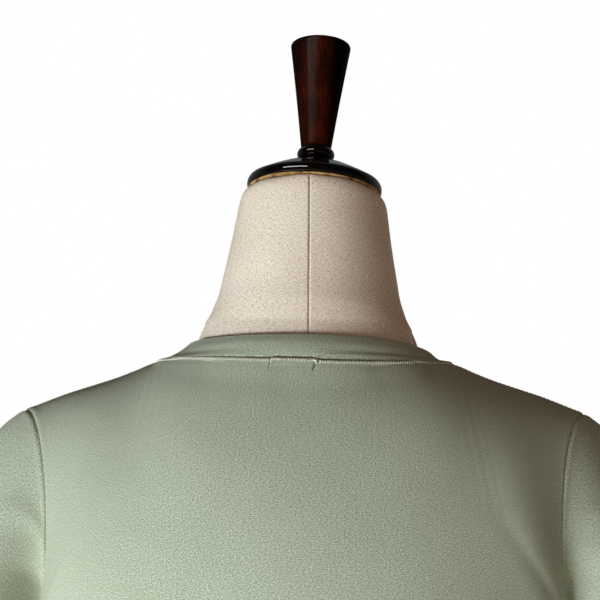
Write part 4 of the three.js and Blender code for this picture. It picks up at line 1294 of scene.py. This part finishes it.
def bust_shape():
    """The bust's closed skin: the two faces of the trunk, a domed plate over each armhole, the neck's loops up to
    a small flat top, and a flat floor, all moved with the neck's bend."""
    bust = Torso(BUST, False)
    shape = Shape()
    inner = spans((0, 0.04, 26), (0.04, NECK_SHARE, 40))
    outer = NECK_SHARE + (1 - NECK_SHARE) * np.linspace(0, 1, 36)[1:] ** 1.5
    half = np.concatenate([inner, outer])
    columns = np.concatenate([-half[:0:-1], half])
    rows = np.concatenate([np.linspace(0, 1, 60), np.linspace(1, 2, 70)[1:]])
    w, v = np.meshgrid(columns, rows)

    def placed(points):
        angle = np.arctan2(points[..., 0], points[..., 1])
        reach = lerp(62, 150, smooth((1385 - points[..., 2]) / 120))
        return np.stack([angle * reach, points[..., 2]], -1)

    def skin(points, flip, face=0):
        moved = bent(points)
        if face:
            # The centre seam: a shallow groove down the middle of the back and of the front.
            depth = -0.9 * bell(moved[..., 0] - SEAM_X, 0.65) + 0.2 * bell(moved[..., 0] - SEAM_X, 4.5)
            moved = moved + np.array([0, face, 0]) * depth[..., None]
        shape.grid(moved, flip, placed(points))

    faces = {side: bust.at(side, w, v) for side in (-1, 1)}
    skin(faces[-1], 1, -1)
    skin(faces[1], -1, 1)

    yoke = rows[rows >= 1] - 1
    for sign in (1, -1):
        t = np.linspace(0, 1, 13)[None, :, None]
        plate = lerp(bust.armhole(-1, yoke, sign)[:, None], bust.armhole(1, yoke, sign)[:, None], t)
        plate[..., 0] += sign * 5 * np.sin(np.pi * yoke)[:, None] * np.sin(np.pi * t[..., 0])
        skin(plate, sign)

    # The neck: from its root, loop by loop, to the disc.
    turns = columns[np.abs(columns) <= NECK_SHARE + 1e-9]
    fine = np.concatenate([spans((1410, 1492, 60)), spans((1492, 1501.3, 16))[1:]])
    fine_rings = np.stack([through(NECK[:, 0], NECK[:, k], fine) for k in (1, 2, 3)], -1)
    angle = turns / NECK_SHARE * np.pi / 2
    for face in (-1, 1):
        root = bust.top(face, turns)
        depth = fine_rings[:, 2 if face > 0 else 1]
        dip = raw_edge(np.arctan2(face * np.cos(angle), np.sin(angle)))[None] * smooth((fine[:, None] - 1494) / 6)
        loops = xyz(
            fine_rings[:, :1] * np.sin(angle)[None],
            face * depth[:, None] * np.cos(angle)[None],
            fine[:, None] - dip,
        )
        rise = np.linspace(0, 1, 14)[:-1, None, None]
        below = lerp(root[None], loops[:1], rise)
        skin(np.concatenate([below, loops]), -face, face)
        t = np.linspace(1, 0, 5)[:, None, None]
        flat_top = loops[-1][None] * np.concatenate([t, t, np.ones_like(t)], -1)
        skin(flat_top, -face, face)
        rim = faces[face][0]
        floor = rim[None] * np.concatenate([t, t, np.ones_like(t)], -1)
        skin(floor, face)
    return shape


# ---------------------------------------------------------------- operators


class HenleySizes(bpy.types.PropertyGroup):
    """Sizes that a user would change."""

    cloth: FloatProperty(
        name="Jersey", description="Thickness of the jersey", default=0.0015, min=0.0008, max=0.002,
        precision=4, subtype="DISTANCE", unit="LENGTH",
    )
    thread: FloatProperty(
        name="Thread", description="Width of a topstitch", default=0.0007, min=0.0003, max=0.0012,
        precision=4, subtype="DISTANCE", unit="LENGTH",
    )
    stitch: FloatProperty(
        name="Stitch Pitch", description="Distance from one topstitch to the next", default=0.0032, min=0.002,
        max=0.006, precision=4, subtype="DISTANCE", unit="LENGTH",
    )
    zigzag: FloatProperty(
        name="Zigzag Pitch", description="Distance between the slanting stitches of the neck seam", default=0.0018,
        min=0.001, max=0.003, precision=4, subtype="DISTANCE", unit="LENGTH",
    )
    segments: IntProperty(
        name="Turning Segments", description="Sides round each turned piece", default=128, min=32, max=256
    )


def colour_property(name, description, value):
    return FloatVectorProperty(
        name=name, description=description, default=linear(value), size=4, min=0, max=1, subtype="COLOR"
    )


class HenleyColours(bpy.types.PropertyGroup):
    """Colours that a user would change."""

    jersey: colour_property("Jersey", "Sage green of the jersey", "a9b49d")
    thread: colour_property("Thread", "Thread of the seams and buttonholes", "eceada")
    linen: colour_property("Linen", "Unbleached linen of the bust", "e9dccb")
    board: colour_property("Board", "Edge of the disc under the cap", "a9824f")
    lacquer: colour_property("Lacquer", "Dark lacquer of the turned wood", "070303")
    # The grain shows in the middle of each lacquered turning; at its two sides painted shade covers it.
    grain: colour_property("Grain", "Wood grain where the lacquer is thin", "3c1507")
    button: colour_property("Button", "Resin of the buttons", "7f8672")


class HENLEY_OT_panels(bpy.types.Operator):
    """Builds the back and the front of the dress"""

    bl_idname = "henley.panels"
    bl_label = "Dress Panels"

    def execute(self, context):
        back = place_piece(panel("dress_back", 1), material(jersey), "jersey", "back")
        front = place_piece(panel("dress_front", -1), material(jersey), "jersey", "front")
        return {"FINISHED"}


class HENLEY_OT_sleeves(bpy.types.Operator):
    """Builds the two short sleeves"""

    bl_idname = "henley.sleeves"
    bl_label = "Sleeves"

    def execute(self, context):
        for side, sign in (("left", 1), ("right", -1)):
            piece = sleeve(f"dress_sleeve_{side}", sign)
            place_piece(piece, material(jersey), "jersey", f"sleeve_{side}")
        return {"FINISHED"}


class HENLEY_OT_neckband(bpy.types.Operator):
    """Builds the neckband"""

    bl_idname = "henley.neckband"
    bl_label = "Neckband"

    def execute(self, context):
        piece = neckband()
        place_piece(piece, material(jersey), "jersey", "neckband")
        return {"FINISHED"}


class HENLEY_OT_placket(bpy.types.Operator):
    """Builds the two folded strips of the placket"""

    bl_idname = "henley.placket"
    bl_label = "Placket"

    def execute(self, context):
        slot_foot = skirt_v(SLOT_FOOT_Z)
        box_foot = skirt_v(SLOT_FOOT_Z - PLACKET["box"])
        under = placket_strip("dress_placket_under", PLACKET["half"] - SEAM_GAP, slot_foot + 0.0015, 1.99, -0.2)
        place_piece(under, material(jersey), "jersey", "placket_under")
        over = placket_strip("dress_placket_over", PLACKET["half"] + PLACKET["lap"], box_foot, 1.99, OVER_SHIFT)
        place_piece(over, material(jersey), "jersey", "placket_over")
        return {"FINISHED"}


class HENLEY_OT_buttons(bpy.types.Operator):
    """Builds the three buttons and the thread that holds them"""

    bl_idname = "henley.buttons"
    bl_label = "Buttons"

    def execute(self, context):
        for number in range(3):
            seat = button_seat(number)
            shape = button_shape()
            shape.points = [on_seat(p, seat) for p in shape.points]
            piece = make(f"dress_button_{number + 1}", shape)
            place_piece(piece, material(button_resin), "button", f"button_{number + 1}")
            # Two bars of thread, each of three strands, across the holes.
            side = np.array([-0.28, 0.0, 0.28])
            reach = BUTTON["reach"]
            start = np.concatenate([xyz(x * reach + side, -reach, 1.55) for x in (-1, 1)])
            end = start * np.array([1, -1, 1])
            out = np.broadcast_to(np.array([0, 0, 1.0]), start.shape)
            thread = stitches(Shape(), start, end, out, 0.42, 0.55)
            thread.points = [on_seat(p, seat) for p in thread.points]
            obj = make(f"button_thread_{number + 1}", thread, weld=THREAD_WELD)
            place_piece(obj, seam_thread(), "jersey")
        return {"FINISHED"}


def on_panel(face, w, v, out):
    """Points on the outside of a panel, with their outward directions."""
    return CLOTH.skin(face, w, v, out), CLOTH.normal(face, w, v)


def row_on_panel(face, start, end, v, out):
    """A row for sew to follow: across a panel from start to end, at one height."""
    return lambda share: on_panel(face, lerp(start, end, share), np.full_like(share, v), out)


class HENLEY_OT_stitching(bpy.types.Operator):
    """Sews the seams: the slanting stitches of the neck seam, the label's tacks, hems, cuffs and placket"""

    bl_idname = "henley.stitching"
    bl_label = "Stitching"

    def execute(self, context):
        sizes = context.scene.henley_sizes
        width, pitch = sizes.thread / MM, sizes.stitch / MM
        length = pitch * 0.72
        face_out = sizes.cloth / MM / 2
        thread = seam_thread()

        # Neck seam: slanting stitches over the roll just below the band, from placket edge to placket edge. Behind,
        # towards the shoulders, they sink into the seam.
        neck = Shape()
        slanting = (sizes.zigzag / MM, 3.0, 0.85, 0.5, math.radians(62), 0.06)
        proud = face_out + 0.25

        def behind(share):
            w = lerp(-0.465, 0.465, share)
            sunk = 0.9 * smooth((np.abs(w) - 0.29) / 0.07)
            return on_panel(1, w, np.full_like(w, 2 - 2.8 / TOP_MM), proud - sunk)

        sew(neck, behind, *slanting, seed=3)
        for sign in (-1, 1):
            row = row_on_panel(-1, sign * SLOT_W * 1.2, sign * 0.4995, 2 - 2.6 / TOP_MM, proud)
            sew(neck, row, *slanting, seed=4)
        place_piece(make("neck_seam_stitching", neck, weld=THREAD_WELD), thread, "jersey")

        # Shoulder seams, stitched on the back panel.
        shoulder = Shape()
        for sign in (-1, 1):
            row = row_on_panel(1, sign * 0.505, sign * 0.985, 2 - 3.0 / TOP_MM, face_out)
            sew(shoulder, row, pitch, length, width * 0.8, 0.12)
        place_piece(make("shoulder_stitching", shoulder, weld=THREAD_WELD), thread, "jersey")

        # Twin rows above the hem.
        hem = Shape()
        for face in (1, -1):
            for height in (17.0, 20.5):
                sew(hem, row_on_panel(face, -0.995, 0.995, height / SKIRT_MM, face_out), pitch, length, width, 0.15)
        place_piece(make("hem_stitching", hem, weld=THREAD_WELD), thread, "jersey")

        # Twin rows above each cuff.
        for side, sign in (("left", 1), ("right", -1)):
            cuff = Shape()
            for down in (0.85, 0.882):

                def ring(share, down=down, sign=sign):
                    points, normal = sleeve_skin(share % 1, np.full_like(share, down), face_out)
                    return mirrored(points, sign), mirrored(normal, sign)

                sew(cuff, ring, pitch, length, width, 0.15)
            place_piece(make(f"cuff_stitching_{side}", cuff, weld=THREAD_WELD), thread, "jersey")

        # Placket: a row down each long side, one across its foot and one across the foot of the slot.
        placket = Shape()
        reach = 0.84 * (PLACKET["half"] + PLACKET["lap"]) * SLOT_W / PLACKET["half"]
        slot_foot, box_foot = skirt_v(SLOT_FOOT_Z), skirt_v(SLOT_FOOT_Z - PLACKET["box"]) + 0.004
        rows = [((sign * reach, box_foot), (sign * reach, 1.985)) for sign in (-1, 1)]
        rows += [((-reach, v), (reach, v)) for v in (box_foot, slot_foot)]
        for start, end in rows:

            def row(share, start=start, end=end):
                w, v = lerp(start[0], end[0], share), lerp(start[1], end[1], share)
                normal = CLOTH.normal(-1, w, v)
                return CLOTH.at(-1, w, v) + normal * (OVER_SHIFT + STRIP_CLOTH / 2), normal

            sew(placket, row, pitch * 0.9, pitch * 0.65, width * 0.9, 0.12)
        # Buttonholes: close bars of thread along both sides of each slit.
        for number in range(3):
            centre, normal, up = button_seat(number)
            centre = centre - normal * (SEAM_GAP - 0.05)
            across = np.cross(up, normal)
            run = np.arange(-8.0, 8.01, 0.62)
            for sign in (-1, 1):
                start = centre + up * run[:, None] + across * sign * 0.35
                end = centre + up * run[:, None] + across * sign * 2.0
                stitches(placket, start, end, np.broadcast_to(normal, start.shape), 0.6, 0.1)
        place_piece(make("placket_stitching", placket, weld=THREAD_WELD), thread, "jersey")

        # The label's bar tacks: five short bars each, one under the other.
        tacks = Shape()
        bars = 1.5 + np.arange(5) * 0.9
        for x, size in ((TACK_X[0], 1.0), (TACK_X[1], 0.7)):
            w = np.full(len(bars), math.asin(x / DRESS["neck"]["side"][0]) / math.pi)
            points, normal = on_panel(1, w, 2 - bars / TOP_MM, face_out + 0.1)
            across = np.array([1.0, 0, 0.25]) * 0.55 * size
            stitches(tacks, points - across, points + across, normal, 0.5, 0.05)
        place_piece(make("label_tacks", tacks, weld=THREAD_WELD), thread, "jersey")
        return {"FINISHED"}


class HENLEY_OT_bust(bpy.types.Operator):
    """Builds the linen bust"""

    bl_idname = "henley.bust"
    bl_label = "Bust"

    def execute(self, context):
        piece = make("bust_linen", bust_shape())
        piece.data.set_sharp_from_angle(angle=math.radians(50))
        place_piece(piece, material(linen), "linen", "bust")
        # The centre seam behind: waxed thread in the groove, close above and in separate stitches lower down.
        # The thread's dark brown is partly its own colour and partly painted shade of the groove.
        seam = Shape()
        column = Torso(BUST, False).at(1, np.zeros(200), np.linspace(1.8, 2, 200))
        z = np.arange(1380.0, 1499.0, 2.3)
        root = BUST["neck"]["back"]
        depth = np.where(z < root[1], np.interp(z, column[:, 2], column[:, 1]), through(NECK[:, 0], NECK[:, 3], z))
        rise = (z - root[1]) / (NECK[0, 0] - root[1])
        depth = np.where((z >= root[1]) & (z < NECK[0, 0]), lerp(root[0], NECK[0, 3], rise), depth)
        half = through(NECK[:, 0], NECK[:, 1], np.maximum(z, NECK[0, 0]))
        across = SEAM_X - bent(xyz(0 * z, depth, z))[:, 0]
        y = depth * np.sqrt(np.clip(1 - (across / half) ** 2, 0, 1)) - 0.62
        middle = xyz(np.full_like(z, SEAM_X), y, z)
        ahead = unit(np.gradient(middle, axis=0)) * lerp(0.78, 1.3, smooth((z - 1436) / 20))[:, None]
        out = np.broadcast_to(np.array([0, 1.0, 0]), middle.shape)
        stitches(seam, middle - ahead, middle + ahead, out, 0.62, 0.1)
        obj = make("bust_seam_stitching", seam, weld=THREAD_WELD)
        place_piece(obj, material(sewing_thread, "linen_thread", linear("4b3a29")), "linen")
        return {"FINISHED"}


def turned_piece(cad, name, profile, segments, finish, slot, corner, place=None):
    """Makes a turned piece, sharp where its profile turns by more than corner degrees, that stands for a CAD node."""
    piece = make(name, turned(Shape(), profile, segments, place))
    piece.data.set_sharp_from_angle(angle=math.radians(corner))
    place_piece(piece, finish, slot, cad)


class HENLEY_OT_neck_top(bpy.types.Operator):
    """Builds the disc, the cap, the bead and the handle that stand on the neck"""

    bl_idname = "henley.neck_top"
    bl_label = "Neck Top"

    def execute(self, context):
        segments = context.scene.henley_sizes.segments
        disc = np.array(
            [
                [0, 1501.6], [45.4, 1501.6], [46.2, 1501.6], [46.9, 1501.65], [47.4, 1501.8], [47.6, 1502.2],
                [47.5, 1502.6], [47.2, 1502.7], [0, 1502.7],
            ]
        )

        def uneven(points):
            """Lets the board's rim hang below its face by the linen's raw edge."""
            reach = np.hypot(points[..., 0], points[..., 1])
            share = smooth((reach - 45.5) / 0.9) * smooth((1502.5 - points[..., 2]) / 0.5)
            hang = raw_edge(np.arctan2(points[..., 1], points[..., 0])) * share
            return leaning(LEAN_ANGLE)(points - xyz(0, 0, 1) * hang[..., None])

        turned_piece("neck_disc", "neck_disc_board", disc, 2 * segments, material(board), "card", 40, uneven)

        # The cap's edge swells gently between two tight corners; the tool has left fine rings on the dome.
        radius, base, top, bore = 48.2, 1503.0, 1526.0, 12.0
        lower, face, upper = (np.radians(np.linspace(*ends)) for ends in ((-90, -24, 8), (-22, 22, 15), (24, 58, 7)))
        swell, corner, middle = 6.4, 1.5, base + 3.9
        join = np.array([radius - swell + (swell - corner) * math.cos(face[-1]), (swell - corner) * math.sin(face[-1])])
        edge = np.concatenate(
            [
                np.stack([join[0] + corner * np.cos(lower), middle - join[1] + corner * np.sin(lower)], -1),
                np.stack([radius - swell + swell * np.cos(face), middle + swell * np.sin(face)], -1),
                np.stack([join[0] + corner * np.cos(upper), middle + join[1] + corner * np.sin(upper)], -1),
            ]
        )
        t = np.linspace(0, 1, 110)[1:]
        rings = 0.012 * np.sin(t * 95 + 2.1 * np.sin(t * 17)) * np.sin(np.pi * t)
        rise = lerp(edge[-1, 1] + 0.1, top, np.sin(t * np.pi / 2) * 0.35 + t * 0.65) + rings
        dome = np.stack([lerp(edge[-1, 0], bore, t), rise], -1)
        edge[:, 1] += base + 0.1 - edge[:, 1].min()
        profile = np.concatenate([[[0, base], [41, base]], edge, dome, [[0, top]]])
        tilted = leaning(LEAN_ANGLE)
        turned_piece("neck_cap", "neck_cap_wood", profile, segments, dark_wood(), "lacquer", 40, tilted)

        # The bead is a rounded ring, fuller than a half circle.
        base, top, waist, bulge = 1526.6, 1536.5, 9.4, 4
        t = np.linspace(0, 1, 28)
        bead = np.stack([waist + bulge * np.sin(np.pi * t) ** 0.62, lerp(base, top, t)], -1)
        profile = np.concatenate([[[0, base]], bead, [[0, top]]])
        tilted = leaning(FINIAL_LEAN)
        turned_piece("finial_bead", "finial_bead_wood", profile, segments, dark_wood(), "lacquer", 40, tilted)

        # The handle flares upwards, a little hollow on its way, to a rounded lip.
        foot, head, hollow, base, top = 11.0, 21.8, 0.24, 1536.8, 1615.8
        lip_in, lip_down = 1.6, 1.8
        t = np.linspace(0, 1, 40)
        flare = lerp(foot, head, t) - hollow * np.sin(np.pi * t)
        shaft = np.stack([flare, lerp(base + 1, top - lip_down, t)], -1)
        turn = np.linspace(0, np.pi / 2, 9)[1:]
        lip = np.stack([head - lip_in + lip_in * np.cos(turn), top - lip_down + lip_down * np.sin(turn)], -1)
        profile = np.concatenate([[[0, base], [foot - 0.6, base], [foot - 0.1, base + 0.4]], shaft, lip, [[0, top]]])
        turned_piece("finial_handle", "finial_handle_wood", profile, segments, rubbed_wood(), "lacquer", 40, tilted)
        return {"FINISHED"}


class HENLEY_OT_stand(bpy.types.Operator):
    """Builds the turned stand: socket, column and round foot"""

    bl_idname = "henley.stand"
    bl_label = "Stand"

    def execute(self, context):
        segments = context.scene.henley_sizes.segments
        socket_top = 700 - SEAM_GAP
        column_top = socket_top - 40 - SEAM_GAP
        foot = 62 + SEAM_GAP

        def moulding(inner, bulge, z, height):
            t = np.linspace(0, 1, 13)
            return np.stack([inner + bulge * np.sin(np.pi * t), z + height * t], -1).tolist()

        socket = softened(
            [
                [0, socket_top - 40], [20, socket_top - 40], [24, socket_top - 36], [24, socket_top - 28],
                [30, socket_top - 16], [44, socket_top - 10], [46, socket_top - 7], [46, socket_top], [0, socket_top],
            ],
            2.0,
        )
        column = softened(
            [
                [0, foot], [27, foot], [28, foot + 6], *moulding(22, 6, foot + 14, 20), [17, foot + 44],
                [21, foot + 130], [18, column_top - 150], [16, column_top - 40],
                *moulding(16, 6, column_top - 28, 16), [17, column_top - 6], [17, column_top], [0, column_top],
            ],
            1.5,
        )
        base = softened(
            [
                [0, 0], [204, 0], [209, 4], [210, 10], [208, 17], [201, 22], [180, 26], [120, 33], [60, 44],
                [44, 52], [40, 62], [0, 62],
            ],
            3.0,
        )
        for cad, profile in (("stand_socket", socket), ("stand_column", column), ("stand_base", base)):
            turned_piece(cad, f"{cad}_wood", profile, segments, dark_wood(), "lacquer", 50)
        return {"FINISHED"}


def area_light(name, place, aim, size, watts, colour, diffuse=True, glossy=True):
    light = bpy.data.lights.new(name, "AREA")
    light.shape, light.size, light.size_y = "RECTANGLE", size[0], size[1]
    light.energy, light.color = watts, colour
    obj = bpy.data.objects.new(name, light)
    obj.location = place
    obj.visible_camera, obj.visible_diffuse, obj.visible_glossy = False, diffuse, glossy
    obj.rotation_euler = (Vector(aim) - Vector(place)).to_track_quat("-Z", "Y").to_euler()
    bpy.context.scene.collection.objects.link(obj)


class HENLEY_OT_stage(bpy.types.Operator):
    """Sets up the camera, the pale floor and the studio light"""

    bl_idname = "henley.stage"
    bl_label = "Stage"

    def execute(self, context):
        scene = context.scene
        scene.view_settings.view_transform = "Standard"

        camera = bpy.data.cameras.new("camera")
        camera.lens, camera.sensor_width = 103.8, 36
        camera.clip_start, camera.clip_end = 0.05, 60
        eye = bpy.data.objects.new("camera", camera)
        turn = Matrix.Rotation(math.pi, 4, "Z") @ Matrix.Rotation(math.radians(90 + 14.77), 4, "X")
        eye.matrix_world = (
            Matrix.Translation((0.0036, 1.175, 1.114)) @ turn @ Matrix.Rotation(math.radians(0.4), 4, "Z")
        )
        scene.collection.objects.link(eye)
        scene.camera = eye

        floor = Shape()
        across = np.linspace(-9000, 9000, 5)
        x, y = np.meshgrid(across, across)
        floor.grid(xyz(x, y, -0.5), 1)
        ground = make("floor", floor)
        ground.data.materials.append(material(plaster))

        # White behind everything and a dim warm room for bounced light. In reflections the room is pale beyond
        # the front of the dress and dark behind its back.
        world = bpy.data.worlds.new("studio")
        scene.world = world
        world.use_nodes = True
        tree = world.node_tree
        tree.nodes.clear()
        path = node(tree, "LightPath").outputs
        heading = node(tree, "TexCoord").outputs["Generated"]
        forward = node(tree, "SeparateXYZ", {0: heading}).outputs[1]
        pale = node(tree, "MapRange", {0: forward, 1: 0.1, 2: -0.6, 3: 0.02, 4: 0.22}).outputs[0]
        room = node(tree, "Background", {0: (1.0, 0.64, 0.46, 1), 1: 0.10}).outputs[0]
        gloss = node(tree, "Background", {0: (0.92, 0.97, 1.0, 1), 1: pale}).outputs[0]
        white = node(tree, "Background", {0: WHITE, 1: 1.0}).outputs[0]
        lit = node(tree, "MixShader", {0: path["Is Glossy Ray"], 1: room, 2: gloss}).outputs[0]
        seen = node(tree, "MixShader", {0: path["Is Camera Ray"], 1: lit, 2: white}).outputs[0]
        node(tree, "OutputWorld", {0: seen})

        # A large low window on the wearer's left, a smaller one straight behind, a bright strip for the lacquer's
        # highlights, and a soft light on the front.
        area_light("key", (1.7, 1.57, 0.28), (0, 0.05, 1.3), (1.5, 0.54), 75, (0.885, 0.96, 1.0), glossy=False)
        area_light("fill", (-0.72, 2.74, 0.40), (0, 0.05, 1.3), (1.3, 0.78), 11, (1.0, 0.84, 0.72), glossy=False)
        area_light("strip", (1.6, 2.43, 2.3), (0, 0, 1.5), (2.2, 0.5), 48, (1.0, 1.0, 1.0), diffuse=False)
        area_light("front", (-1.4, -3.2, 1.1), (0, 0, 1.0), (2.0, 1.6), 40, (1.0, 0.97, 0.93), glossy=False)
        return {"FINISHED"}


class HENLEY_PT_panel(bpy.types.Panel):
    """Lists the pieces in the order they are built"""

    bl_idname = "HENLEY_PT_panel"
    bl_label = "Henley Dress"
    bl_space_type = "VIEW_3D"
    bl_region_type = "UI"
    bl_category = "Henley Dress"

    def draw(self, context):
        for group in (context.scene.henley_sizes, context.scene.henley_colours):
            for key in group.__annotations__:
                self.layout.prop(group, key)
        for operator in OPERATORS:
            self.layout.operator(operator.bl_idname)


OPERATORS = (
    HENLEY_OT_stage,
    HENLEY_OT_bust,
    HENLEY_OT_panels,
    HENLEY_OT_sleeves,
    HENLEY_OT_neckband,
    HENLEY_OT_placket,
    HENLEY_OT_buttons,
    HENLEY_OT_stitching,
    HENLEY_OT_neck_top,
    HENLEY_OT_stand,
)
CLASSES = (HenleySizes, HenleyColours, *OPERATORS, HENLEY_PT_panel)


def register():
    for cls in CLASSES:
        bpy.utils.register_class(cls)
    bpy.types.Scene.henley_sizes = PointerProperty(type=HenleySizes)
    bpy.types.Scene.henley_colours = PointerProperty(type=HenleyColours)


def unregister():
    del bpy.types.Scene.henley_colours
    del bpy.types.Scene.henley_sizes
    for cls in reversed(CLASSES):
        bpy.utils.unregister_class(cls)


def main():
    """Builds everything in order."""
    register()
    for operator in OPERATORS:
        getattr(bpy.ops.henley, operator.bl_idname.split(".")[1])()


if __name__ == "__main__":
    main()
